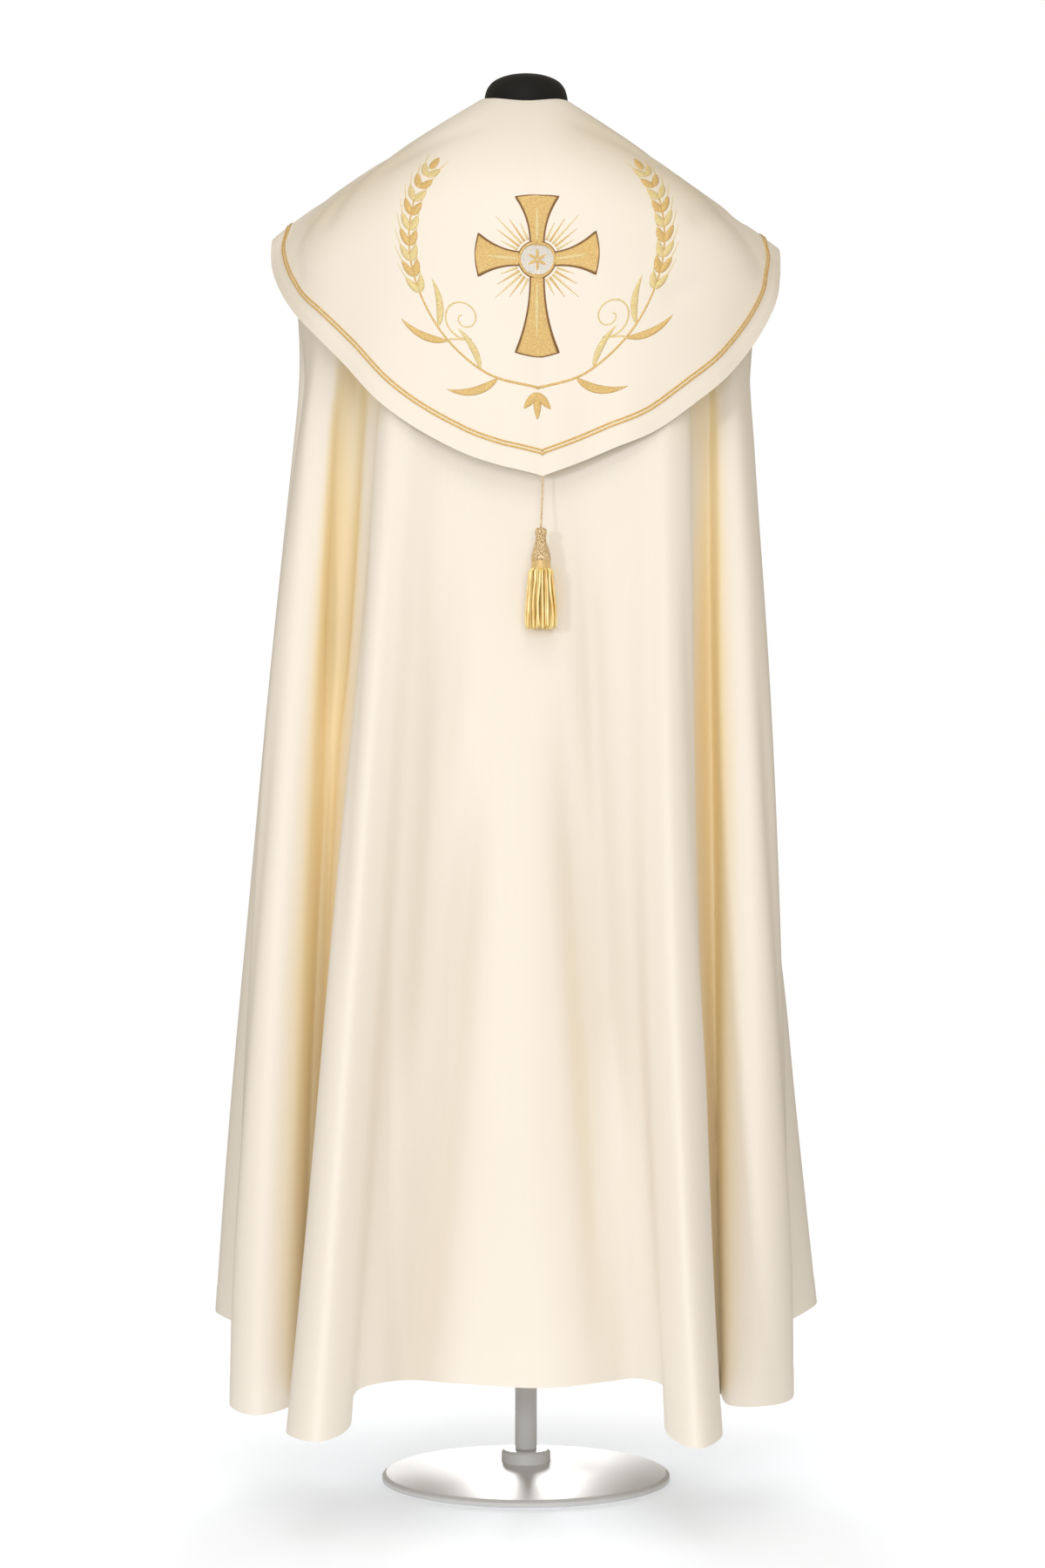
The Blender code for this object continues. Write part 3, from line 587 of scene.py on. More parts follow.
def cope_grid():
    """(points, plan angle of each column), rows from the neck to the hem."""
    table = np.array(FOLDS)
    steps = np.linalg.norm(np.diff(table[:, 3:7], axis=0), axis=1) ** 0.5
    knots = np.concatenate([[0], np.cumsum(steps)])
    at = [
        np.linspace(knots[i], knots[i + 1], int(cells) * COPE_FINE, endpoint=False)
        for i, cells in enumerate(table[:-1, -1])
    ]
    columns = smooth(knots, table[:, :-1], np.append(np.concatenate(at), knots[-1]))
    angle, hem_z = columns[:, 0], columns[:, 7]
    high, mid, hem = columns[:, 1:3], columns[:, 3:5], columns[:, 5:7]
    rows = [yoke(angle, share) for share in YOKE_ROWS]
    outline = yoke(angle, 1.0)
    for drop in HANG_ROWS:
        plan = (
            high * (drop - MID) * (drop - HEM) / ((HIGH - MID) * (HIGH - HEM))
            + mid * (drop - HIGH) * (drop - HEM) / ((MID - HIGH) * (MID - HEM))
            + hem * (drop - HIGH) * (drop - MID) / ((HEM - HIGH) * (HEM - MID))
        )
        plan = outline[:, :2] + (plan - outline[:, :2]) * ramp(drop / HIGH)
        z = outline[:, 2] + (hem_z - outline[:, 2]) * drop
        rows.append(np.column_stack([plan, z]))
    return np.array(rows), angle


def troughs(grid, angle):
    """How far each point of the cope sinks into its troughs."""
    across, down = run_lengths(grid, 1), run_lengths(grid)
    share = down / down[-1]
    deep = np.zeros(share.shape)
    for start, share_0, end, share_1, width_0, width_1, depth in TROUGHS:
        along = np.clip((share - share_0) / (share_1 - share_0), 0, 1)
        at = start + (end - start) * along.mean(axis=1)
        middle = np.array([np.interp(place, angle, row) for place, row in zip(at, across)])
        width = width_0 + (width_1 - width_0) * along
        rise = ramp(along / TROUGH_IN) * (ramp((TROUGH_END - along) / TROUGH_OUT) if share_1 < 1 else 1)
        deep += depth * rise * np.exp(-(((across - middle[:, None]) / width) ** 2))
    return deep


def shut_in(grid, rays=40, reach=0.25, coarse=2, lift=3 * MM):
    """How much of what each point faces is other cloth near by: 0 in the open, towards 1 deep in a fold.

    A fan of rays leaves every other point of the grid, and the points between are filled in."""
    few = grid[::coarse, ::coarse]
    high, wide = few.shape[:2]
    at = np.arange(high * wide).reshape(high, wide)
    quads = np.stack([at[:-1, :-1], at[1:, :-1], at[1:, 1:], at[:-1, 1:]], axis=-1).reshape(-1, 4)
    tree = BVHTree.FromPolygons(few.reshape(-1, 3).tolist(), quads.tolist())
    turn = np.arange(rays) * FAN_TURN
    lean = np.sqrt((np.arange(rays) + 0.5) / rays)
    fan = np.column_stack([lean * np.cos(turn), lean * np.sin(turn), np.sqrt(1 - lean**2)])
    out = outward(few)
    side = unit(np.cross(out, (0, 0, 1.0)))
    found = np.zeros((high, wide))
    for i in range(high):
        for j in range(wide):
            start = few[i, j] + out[i, j] * lift
            ways = fan @ np.array([side[i, j], np.cross(out[i, j], side[i, j]), out[i, j]])
            found[i, j] = sum(tree.ray_cast(start, way, reach)[0] is not None for way in ways.tolist())
    for size in grid.shape[1::-1]:
        known = np.arange(found.shape[1]) * coarse
        found = np.array([np.interp(np.arange(size), known, row) for row in found]).T
    return found / rays


def cloth(name, grid, wall, **layers):
    """A sheet through a grid of points with a wall, its UVs in metres of cloth across and down."""
    high, wide = grid.shape[:2]
    nothing_selected()
    bpy.ops.mesh.primitive_grid_add(x_subdivisions=wide - 1, y_subdivisions=high - 1, size=2)
    made = name_it(name)
    flat = np.empty(len(made.data.vertices) * 3)
    made.data.vertices.foreach_get("co", flat)
    flat = flat.reshape(-1, 3)
    column = np.rint((flat[:, 0] + 1) / 2 * (wide - 1)).astype(int)
    row = np.rint((1 - flat[:, 1]) / 2 * (high - 1)).astype(int)
    made.data.vertices.foreach_set("co", grid[row, column].ravel())
    across, down = run_lengths(grid, 1), run_lengths(grid)
    across = across - across[:, [wide // 2]]
    lay_uvs(made.data, np.column_stack([across[row, column], -down[row, column]]))
    for layer, values in layers.items():
        made.data.attributes.new(layer, "FLOAT", "POINT").data.foreach_set("value", values[row, column])
    made.data.update()
    solidify = made.modifiers.new("wall", "SOLIDIFY")
    solidify.thickness, solidify.offset = wall, 0
    bpy.ops.object.modifier_apply(modifier="wall")
    made.data.shade_smooth()
    made.data.set_sharp_from_angle(angle=math.radians(CLOTH_SMOOTH))
    return made


def satin(name, cream):
    """Satin: fine floats on a fine weave and a soft gloss, with painted shade: warmer in the folds and darker
    in the troughs.
    """
    made, tree, shader, place = new_finish(
        name, {"Roughness": 0.46, "Specular IOR Level": 0.5, "Sheen Weight": 0.03, "Sheen Roughness": 0.5}
    )
    # Two painted-shade layers: the first warms the colour where the cloth is shut in, the second darkens it.
    layers = [add_node(tree, "ShaderNodeAttribute", attribute_name=layer) for layer in ("tint", "dim")]
    tint, dim = (layer.outputs["Fac"] for layer in layers)
    cloud = add_noise(tree, place["Object"], 5, 3)
    slub = add_noise(tree, place["UV"], 1.0, 3, (420, 9, 1))
    colour = add_blend(tree, add_range(tree, tint, 0, 1, 0.32, 0.88), cream, CREAM_DEEP)
    colour = add_blend(tree, add_range(tree, cloud, 0, 0.25), colour, tuple(c * 0.94 for c in cream))
    colour = add_blend(tree, add_range(tree, slub, 0, 0.12), colour, CREAM_DEEP)
    tree.links.new(add_blend(tree, dim, colour, CREAM_DIM), shader.inputs["Base Color"])
    tree.links.new(add_range(tree, slub, 0.41, 0.52), shader.inputs["Roughness"])
    floats = add_wave(tree, place["UV"], {"Scale": 430, "Distortion": 2, "Detail": 2})
    add_bump(tree, shader, add_noise(tree, place["Object"], 16, 3), 0.25, 0.0016)
    add_bump(tree, shader, floats, 0.12, 0.0002)
    add_bump(tree, shader, slub, 0.1, 0.0003)
    return made


grid, cope_angle = cope_grid()
z = grid[..., 2]
sway = SWAY * np.sin(z * 7.1 + cope_angle * 0.19) * np.sin(z * 3.3 - cope_angle * 0.11)
sway = sway * ramp((SWAY_FROM - z) / SWAY_FADE)
sunk = troughs(grid, cope_angle)
grid = grid + outward(grid) * (turned_up(grid, HEM_DEEP, HEM_THICK) + sway - sunk)[..., None]
# Painted shade and painted shadows on the cope: its colour is made warmer where other cloth shuts it in, in
# its troughs, beside the tassel and under the hood's edge, and darker in its troughs.
tint = shut_in(grid) * np.interp(grid[..., 2], PAINTED_SHADE_HEIGHTS, PAINTED_SHADE_SHARES)
sunk = np.maximum(sunk, 0)
tint += PAINTED_SHADE_IN_TROUGHS * sunk
# The tassel's painted shadow.
off = (grid[..., ::2] - TASSEL_PAINTED_SHADOW_AT) / TASSEL_PAINTED_SHADOW_HALF
tint += TASSEL_PAINTED_SHADOW * np.exp(-(off**2).sum(axis=-1)) * (grid[..., 1] < 0)
# The hood's painted shadow along its edge.
off = (grid[..., 2] - np.interp(np.abs(cope_angle - HOOD_TIP), *zip(*UNDER_HOOD))) / UNDER_HOOD_HALF
tint += UNDER_HOOD_PAINTED_SHADOW * np.exp(-(off**2)) * ramp((np.abs(cope_angle) - BESIDE_TIP) / BESIDE_TIP_FADE)
cope = cloth("cope_cloth", grid, COPE_WALL, tint=tint, dim=PAINTED_DIMMING_IN_TROUGHS * sunk)
add_piece(cope, satin("cope_satin", CREAM), "cope_satin", "cope_body")

# ------------------------------------------------------------------------------------- Front clasp
# A plain tab of the same satin over stiff interlining, hooked across both fronts at the chest, with a
# row of stitches just inside its edge.
CLASP_HALF_WIDTH = 55 * MM
CLASP_TOP_Z, CLASP_BOTTOM_Z = 1.408, 1.364
CLASP_WALL = 2.4 * MM
CLASP_CORNER = 12 * MM
SEAM = 0.3 * MM
STITCH_IN = 4 * MM  # from the clasp's edge to its stitches
STITCH_EVERY, STITCH_LONG, THREAD = 3.8 * MM, 2.5 * MM, 0.5 * MM
STITCH_SQUARE = 0.12  # how squarely the row of stitches turns each corner: the nearer to 0, the more
STITCH_DIP = (-0.6, 0.35, 0.6, 0.35, -0.6)  # how far a stitch stands out along its length, in half threads


def clasp_grid(rows, columns):
    """The clasp's middle surface, moved out to lie on the front of the cope, with rounded corners."""
    shares = np.linspace(0, 1, 201)
    falls = np.array([yoke([180.0], share)[0] for share in shares])
    lift = COPE_WALL / 2 + 2 * SEAM + CLASP_WALL / 2
    found = []
    for z in np.linspace(CLASP_TOP_Z, CLASP_BOTTOM_Z, rows):
        from_end = min(CLASP_TOP_Z - z, z - CLASP_BOTTOM_Z)
        cut = CLASP_CORNER - math.sqrt(max(CLASP_CORNER**2 - max(CLASP_CORNER - from_end, 0) ** 2, 0))
        half = math.degrees(
            math.asin((CLASP_HALF_WIDTH - cut) / np.interp(-z, -falls[:, 2], falls[:, 1]))
        )
        share = np.interp(-z, -falls[:, 2], shares)
        points = yoke(np.linspace(180 - half, 180 + half, columns), share)
        found.append(points + lift * unit(points * (1, 1, 0)))
    return np.array(found)


clasp_points = clasp_grid(25, 61)
clasp = cloth("clasp_cloth", clasp_points, CLASP_WALL)
add_piece(clasp, satin("clasp_satin", CREAM), "cope_satin", "front_clasp")


def tube(path, outs, half_wide, half_high, sides, lobes=0, turn=1.0, depth=0.0):
    """A rope along a path: (points, faces, uvs). lobes is its number of plies, turn the length of a twist."""
    path = np.asarray(path)
    along = unit(np.gradient(path, axis=0))
    across = unit(np.cross(outs, along))
    up = np.cross(along, across)
    far = run_lengths(path)
    round_it = np.arange(sides) * 2 * np.pi / sides
    twist = 2 * np.pi * far[:, None] / turn
    swell = 1 - depth + depth * np.abs(np.cos((round_it - twist) * lobes / 2))
    wide = (np.cos(round_it) * swell * np.reshape(half_wide, (-1, 1)))[..., None]
    high = (np.sin(round_it) * swell * np.reshape(half_high, (-1, 1)))[..., None]
    points = path[:, None] + across[:, None] * wide + up[:, None] * high
    uvs = np.stack(np.broadcast_arrays(far[:, None], np.arange(sides) / sides), axis=-1)
    return points.reshape(-1, 3), ring_faces(len(path), sides), uvs.reshape(-1, 2)


def joined(name, parts):
    """One object of several closed shapes, each (points, faces, uvs), with its faces pointing out."""
    points, faces, uvs, count = [], [], [], 0
    for part_points, part_faces, part_uvs in parts:
        points.append(part_points)
        uvs.append(part_uvs)
        faces += [tuple(i + count for i in face) for face in part_faces]
        count += len(part_points)
    made = new_mesh(name, np.concatenate(points), faces, np.concatenate(uvs))
    work = bmesh.new()
    work.from_mesh(made.data)
    bmesh.ops.recalc_face_normals(work, faces=work.faces)
    work.to_mesh(made.data)
    work.free()
    return made


def picked(at, knots, line):
    """The points of a line at the given places, where the line's own points are at the knots."""
    return np.stack([np.interp(at, knots, values) for values in line.T], axis=-1)


def on_grid(grid, across, down):
    """Points at shares across and down a grid of points."""
    last_row, last_column = grid.shape[0] - 1, grid.shape[1] - 1
    found = []
    for u, v in zip(across * last_column, down * last_row):
        row = min(int(v), last_row - 1)
        line = grid[row] + (grid[row + 1] - grid[row]) * (v - row)
        found.append(picked(u, np.arange(last_column + 1), line))
    return np.array(found)


def squared(round_it, inset):
    """The cosines or sines of a round made shares of a tab, squared off to follow its corners."""
    return 0.5 + (0.5 - inset) * np.sign(round_it) * np.abs(round_it) ** STITCH_SQUARE


turns = np.radians(np.linspace(0, 360, 361))
line = on_grid(
    clasp_points,
    squared(np.cos(turns), STITCH_IN / (2 * CLASP_HALF_WIDTH)),
    squared(np.sin(turns), STITCH_IN / (CLASP_TOP_Z - CLASP_BOTTOM_Z)),
)
far = run_lengths(line)
stitches = []
for start in np.arange(0, far[-1] - STITCH_LONG, STITCH_EVERY):
    stitch = picked(np.linspace(start, start + STITCH_LONG, len(STITCH_DIP)), far, line)
    outs = unit(stitch * (1, 1, 0))
    lift = CLASP_WALL / 2 + np.array(STITCH_DIP)[:, None] * THREAD / 2
    stitches.append(tube(stitch + outs * lift, outs, THREAD / 2, THREAD / 2, 6))
stitching = joined("clasp_stitches", stitches)
thread, tree, shader, place = new_finish("cream_thread", {"Roughness": 0.4, "Specular IOR Level": 0.5})
twist = add_wave(tree, place["Object"], {"Scale": 500}, "DIAGONAL")
# Painted shade: the twist's grooves are painted darker than its crowns.
tree.links.new(add_blend(tree, twist, (0.70, 0.61, 0.46), (0.86, 0.79, 0.66)), shader.inputs["Base Color"])
add_bump(tree, shader, twist, 0.3, 0.0002)
add_piece(stitching, thread, "cope_satin")

# -------------------------------------------------------------------------------------------- Hood
# A wide shield of satin over stiff interlining, lined and turned at the edge. It is sewn on just under
# the neck, lies round the shoulders, and falls behind to a blunt point.
HOOD_WALL = 2.0 * MM
HOOD_RISE = COPE_WALL / 2 + 3 * SEAM + HOOD_WALL / 2
HOOD_SEWN = (-0.4, 1.35)  # how far out and up from the cope's neck ring it is sewn, in such rises
HOOD_FRONT = 166  # plan angle of its two front edges
HOOD_ROLL = 0.10  # drop over which it rolls over the shoulder before it hangs straight
HOOD_SIDES = [  # plan angle, fall in degrees, corner radius, edge radius, edge height, firmness
    [
        (-180, 34.0, 0.141, 0.144, 1.425, 0.80),
        (-150, 33.0, 0.172, 0.175, 1.428, 0.80),
        (-120, 30.5, 0.241, 0.246, 1.432, 0.75),
        (-100, 31.3, 0.266, 0.287, 1.428, 0.80),
        (-90, 31.8, 0.268, 0.2915, 1.416, 0.80),
        (-85, 31.8, 0.268, 0.2905, 1.388, 0.80),
        (-80, 31.8, 0.267, 0.286, 1.364, 0.80),
        (-71.5, 31.6, 0.262, 0.275, 1.327, 0.80),
        (-62.5, 31.8, 0.249, 0.2625, 1.295, 0.80),
        (-54, 32.0, 0.234, 0.2475, 1.261, 0.80),
        (-42, 32.5, 0.214, 0.2365, 1.2145, 0.80),
        (-20, 34.0, 0.190, 0.214, 1.160, 0.80),
        (5, 35.0, 0.180, 0.207, 1.132, 0.80),
    ],
    [
        (5, 35.0, 0.180, 0.207, 1.132, 0.80),
        (15, 34.5, 0.184, 0.211, 1.146, 0.80),
        (25, 34.0, 0.192, 0.218, 1.162, 0.80),
        (38, 33.5, 0.210, 0.233, 1.185, 0.80),
        (48.5, 33.2, 0.231, 0.249, 1.217, 0.80),
        (58, 33.0, 0.250, 0.2665, 1.251, 0.80),
        (66, 33.2, 0.262, 0.2795, 1.288, 0.80),
        (73, 33.4, 0.268, 0.2865, 1.326, 0.80),
        (81, 33.7, 0.271, 0.290, 1.371, 0.85),
        (86, 33.8, 0.271, 0.2905, 1.398, 0.90),
        (92, 33.8, 0.270, 0.2905, 1.413, 0.90),
        (104, 33.6, 0.260, 0.277, 1.421, 0.85),
        (120, 33.0, 0.240, 0.246, 1.426, 0.80),
        (150, 33.5, 0.172, 0.175, 1.426, 0.80),
        (180, 34.0, 0.141, 0.144, 1.425, 0.80),
    ],
]
HOOD_COLUMN = 1.4  # degrees between its mesh columns, about
HOOD_ROWS = np.concatenate([np.linspace(0, 0.9, 50, endpoint=False), np.linspace(0.9, 1, 16)])
HOOD_EDGE_DEEP, HOOD_EDGE_THICK = 18 * MM, 0.3 * MM  # its edge, turned in over the lining
HOOD_SWELL, SWELL_FROM, SWELL_FADE = 0.9 * MM, 0.25, 0.3  # how far it swells, from which share down
HOOD_CREAM = (0.92, 0.86, 0.785)


def hood_falls(angles):
    """The hood's profiles at angles on one side of its tip: points close together, neck to edge."""
    angles = np.asarray(angles, float)
    table = np.array(HOOD_SIDES[0] if angles.mean() < HOOD_TIP else HOOD_SIDES[1])
    slope, corner_r, edge_r, edge_z, firm = smooth(table[:, 0], table[:, 1:], angles).T
    ring_r, ring_z = yoke_sizes(angles)[:2]
    start = (ring_r + HOOD_RISE * HOOD_SEWN[0], ring_z + HOOD_RISE * HOOD_SEWN[1])
    corner_z = start[1] - np.tan(np.radians(slope)) * (corner_r - start[0])
    roll_z = np.maximum(edge_z, corner_z - HOOD_ROLL)
    roll_r = corner_r + (edge_r - corner_r) * (corner_z - roll_z) / (corner_z - edge_z)
    rolled = [profile(start, slope, corner_r, (roll_r, roll_z), t, firm) for t in np.linspace(0, 1, 61)]
    straight = [
        (roll_r + (edge_r - roll_r) * t, roll_z + (edge_z - roll_z) * t) for t in np.linspace(0.1, 1, 10)
    ]
    return np.array([in_plan(angles, r, z) for r, z in rolled + straight])


def hood_lines(angles, places):
    """Rows of points on one side of the hood, with one column to each angle.

    places gives how far down each row is, from the columns' whole lengths and their angles."""
    falls = hood_falls(angles)
    lengths = run_lengths(falls)
    wanted = np.array(places(lengths[-1], angles))
    columns = [picked(wanted[:, i], lengths[:, i], falls[:, i]) for i in range(len(angles))]
    return np.stack(columns, axis=1)


def hood_grid(places, step):
    """The same points on both sides, joined at the tip's column: (points, plan angles)."""
    left = np.linspace(-HOOD_FRONT, HOOD_TIP, round((HOOD_TIP + HOOD_FRONT) / step) + 1)
    right = np.linspace(HOOD_TIP, HOOD_FRONT, round((HOOD_FRONT - HOOD_TIP) / step) + 1)
    first, second = hood_lines(left, places), hood_lines(right, places)
    middle = (first[:, -1:] + second[:, :1]) / 2
    return np.concatenate([first[:, :-1], middle, second[:, 1:]], axis=1), np.append(left, right[1:])


# The lower edge isn't quite even: it lifts and dips a little where the turned edge pulls.
EDGE_WAVES = [  # plan angle, half width in degrees, how far it stands out
    (-66, 9, -0.0012),
    (-46, 7, 0.0014),
    (-14, 6, 0.0024),
    (-7, 3, -0.0020),
    (18, 6, -0.0026),
    (31, 7, 0.0030),
    (62, 6, -0.0024),
    (76, 5, 0.0020),
    (118, 9, 0.0020),
    (-128, 9, 0.0020),
]
WAVES_FROM = 0.72  # the share of the way down where they begin

# Broad soft dents, where the stiff cloth gives over the shoulders: each runs from one place to another.
HOOD_DENTS = [  # start angle, share of the way down, end angle, share, half width, depth
    (56, 0.56, 88, 0.80, 0.013, 0.0030),
    (44, 0.70, 78, 0.93, 0.012, 0.0026),
    (70, 0.30, 92, 0.55, 0.012, 0.0022),
    (-84, 0.34, -66, 0.66, 0.015, 0.0028),
    (-94, 0.70, -70, 0.88, 0.012, 0.0020),
    (-30, 0.16, -58, 0.40, 0.018, 0.0022),
    (34, 0.14, 60, 0.36, 0.018, 0.0022),
    (-118, 0.40, -134, 0.82, 0.014, 0.0022),
    (116, 0.36, 132, 0.80, 0.014, 0.0022),
]
DENT_FADE = 0.75  # how far from a dent's middle it has faded, as a share of its run

# Painted shade in bands along the shoulders, where the satin turns away from the light: a warmer and darker
# colour, from one place to another, as seen from behind.
HOOD_SHADE_BANDS = [  # x, z, x, z, half width, how warm
    (-0.240, 1.435, -0.140, 1.505, 0.042, 0.90),
    (0.075, 1.530, 0.190, 1.462, 0.040, 0.90),
    (-0.300, 1.395, -0.275, 1.330, 0.028, 0.60),
    (0.235, 1.430, 0.290, 1.380, 0.030, 0.55),
]
SHADE_BANDS_FROM_Y, SHADE_BANDS_FADE = 0.01, 0.07  # the bands come in from here towards the back
# How warm and how dark that painted shade is at its strongest.
SHADE_BANDS_TINT, SHADE_BANDS_DIMMING = 0.5, 0.28


def beside_run(points, start, end):
    """How far along a straight run each point is, as a share, and how far off it."""
    run = end - start
    along = ((points - start) @ run) / (run @ run)
    off = points - start - np.clip(along, 0, 1)[..., None] * run
    return along, np.linalg.norm(off, axis=-1)


grid, hood_angle = hood_grid(lambda whole, at: np.outer(HOOD_ROWS, whole), HOOD_COLUMN)
dent = np.zeros(grid.shape[:2])
for start, share_0, end, share_1, half, depth in HOOD_DENTS:
    ends = [
        grid[np.abs(HOOD_ROWS - share).argmin(), np.abs(hood_angle - at).argmin()]
        for at, share in ((start, share_0), (end, share_1))
    ]
    along, off = beside_run(grid, *ends)
    dent += depth * np.exp(-((off / half) ** 2)) * np.exp(-(((along - 0.5) / DENT_FADE) ** 4))
wave = sum(out * np.exp(-(((hood_angle - at) / half) ** 2)) for at, half, out in EDGE_WAVES)
wave = wave * ramp((HOOD_ROWS - WAVES_FROM) / (1 - WAVES_FROM))[:, None]
swell = HOOD_SWELL * np.sin(hood_angle * 0.13 + grid[..., 2] * 17)
swell = swell * ramp((HOOD_ROWS - SWELL_FROM) / SWELL_FADE)[:, None]
raised = wave + turned_up(grid, HOOD_EDGE_DEEP, HOOD_EDGE_THICK) + swell - dent
grid = grid + outward(grid) * raised[..., None]
# Painted shade on the hood's shoulder bands, only on its back.
shoulder_shade = np.zeros(grid.shape[:2])
for x_0, z_0, x_1, z_1, half, strength in HOOD_SHADE_BANDS:
    _, off = beside_run(grid[..., ::2], np.array([x_0, z_0]), np.array([x_1, z_1]))
    shoulder_shade += strength * np.exp(-((off / half) ** 2))
shoulder_shade *= ramp((SHADE_BANDS_FROM_Y - grid[..., 1]) / SHADE_BANDS_FADE)
hood = cloth("hood_cloth", grid, HOOD_WALL, tint=SHADE_BANDS_TINT * shoulder_shade, dim=SHADE_BANDS_DIMMING * shoulder_shade)
add_piece(hood, satin("hood_satin", HOOD_CREAM), "hood_satin", "hood")

# ------------------------------------------------------------------------------------------- Braid
# A narrow gold braid sewn flat along the hood, an inch in from its edge: two bright couched cords with
# a paler strip of gold tape showing between them.
BRAID_INSET = 25 * MM  # from the hood's edge to the braid's middle
BRAID_WIDTH = 5.4 * MM
BRAID_TAPE = 0.5 * MM
BRAID_CORD = 1.5 * MM
CORD_UP, CORD_FLAT = 0.3, 0.42  # shares of that: its middle over the tape, and half its height sewn down
BRAID_SPREAD = 2.0 * MM  # from the braid's middle to each cord
BRAID_BAND = 35 * MM  # width of the hood's outer band, which gives the braid its slant
BRAID_STEP = 0.45  # degrees between points along it
FEEL_FROM, FEEL_FOR = 20 * MM, 50 * MM  # how far out a line starts to feel for the hood, and its length

hood_tree = BVHTree.FromObject(hood, bpy.context.evaluated_depsgraph_get())


def on_hood(points, ways):
    """The points where lines through the given ones meet the hood's outside, and the ways out there."""
    hits, outs = [], []
    for point, way in zip(points, ways):
        hit, normal, _, _ = hood_tree.ray_cast(Vector(point + way * FEEL_FROM), Vector(-way), FEEL_FOR)
        hits.append(point + way * HOOD_WALL / 2 if hit is None else np.array(hit))
        outs.append(way if hit is None else np.array(normal))
    return np.array(hits), unit(np.array(outs))


def braid_line(inset):
    """Points on the hood's outside, a distance in from its edge, and the ways out there.

    The hood's columns meet its edge at a slant, so that distance is longer along a column."""
    falls, angle = hood_grid(lambda whole, at: (whole - BRAID_BAND, whole), BRAID_STEP)
    along = unit(np.gradient(falls[1], axis=0))
    down = unit(falls[1] - falls[0])
    slant = np.sqrt(1 - (down * along).sum(axis=1) ** 2)
    line, _ = hood_grid(lambda whole, at: [whole - inset / np.interp(at, angle, slant)], BRAID_STEP)
    return on_hood(line[0], unit(np.cross(down, along)))


def gold(name, dark, bright, metal, rough, thread):
    """Gold thread: fine turns along its run, darker in their grooves and brighter on their crowns, partly the
    thread's own tones and partly painted shade and highlight, with a few painted glints.
    """
    made, tree, shader, place = new_finish(
        name, {"Metallic": metal, "Roughness": rough, "Specular IOR Level": 0.5}
    )
    turns = add_wave(tree, place["UV"], {"Scale": 0.314 / thread, "Distortion": 1.2, "Detail": 2})
    glint = add_noise(tree, place["Object"], 900, 2)
    # Painted shade and highlight: the turns' grooves darker and their crowns brighter; then painted glints,
    # brighter specks from noise.
    crown = add_blend(tree, turns, dark, bright)
    glints = add_range(tree, glint, 0, 1, 0.42, 0.72)
    painted_glints = add_blend(tree, glints, crown, tuple(min(c * 1.25, 1) for c in bright))
    tree.links.new(painted_glints, shader.inputs["Base Color"])
    tree.links.new(add_range(tree, glint, rough * 0.8, rough * 1.25), shader.inputs["Roughness"])
    add_bump(tree, shader, turns, 0.5, 0.0003)
    add_bump(tree, shader, glint, 0.3, 0.0003)
    return made


def sew_braid(name, inset, lift, half_wide, half_high, finish):
    """One strip or cord of the braid, a distance in from the hood's edge and so far off its cloth."""
    line, outs = braid_line(inset)
    sewn = joined(name, [tube(line + outs * lift, outs, half_wide, half_high, 8)])
    add_piece(sewn, finish, "gold_braid", "hood_braid")


tape_gold = gold("pale_gold_tape", (0.84, 0.66, 0.38), (0.96, 0.83, 0.58), 0.15, 0.42, 0.0006)
sew_braid("braid_tape", BRAID_INSET, BRAID_TAPE / 2, BRAID_WIDTH / 2, BRAID_TAPE / 2, tape_gold)
braid_gold = gold("braid_gold", (0.52, 0.26, 0.06), (0.90, 0.56, 0.18), 0.3, 0.36, 0.0011)
for name, inset in (("braid_cord_upper", BRAID_SPREAD), ("braid_cord_lower", -BRAID_SPREAD)):
    lift = BRAID_TAPE + BRAID_CORD * CORD_UP
    sew_braid(name, BRAID_INSET + inset, lift, BRAID_CORD / 2, BRAID_CORD * CORD_FLAT, braid_gold)

# -------------------------------------------------------------------------------------- Embroidery
# Worked on the hood by machine in gold thread over padding: a flared cross on a round of rays with a
# silver disc at its heart, inside two bent ears of wheat. It is an ordinary church pattern.
CROSS_AT = (0.0, 0.250)  # across the hood from the design's middle, and down it from the neck
DESIGN_X = 0.012  # the design's middle, which is the middle of the hood as it hangs
PAD = 0.9 * MM  # how far the fullest stitches stand out
LINE_PAD = 0.5 * MM
DESIGN_ANGLES = np.linspace(-78, HOOD_TIP - 0.01, 84), np.linspace(HOOD_TIP + 0.01, 80, 76)
DESIGN_DOWN = np.linspace(0.0, 0.46, 231)

design = np.concatenate(
    [hood_lines(side, lambda whole, at: np.minimum(DESIGN_DOWN[:, None], whole)) for side in DESIGN_ANGLES],
    axis=1,
)
design_outs = outward(design)


def on_design(marks):
    """Where marks, each (across, down) on the flat pattern, lie on the hood: (points, ways out)."""
    points, ways = [], []
    for across, down in marks:
        row = np.clip(down / (DESIGN_DOWN[1] - DESIGN_DOWN[0]), 0, len(DESIGN_DOWN) - 1.001)
        i, t = int(row), row - int(row)
        line = design[i] * (1 - t) + design[i + 1] * t
        outs = design_outs[i] * (1 - t) + design_outs[i + 1] * t
        points.append(picked(across + DESIGN_X, line[:, 0], line))
        ways.append(picked(across + DESIGN_X, line[:, 0], outs))
    return on_hood(np.array(points), unit(np.array(ways)))


# the section of a padded band, as shares of its half width and of its height, with its underside last
SECTION = [(-1, 0), (-0.82, 0.55), (-0.4, 0.93), (0, 1), (0.4, 0.93), (0.82, 0.55), (1, 0), (0, -0.25)]


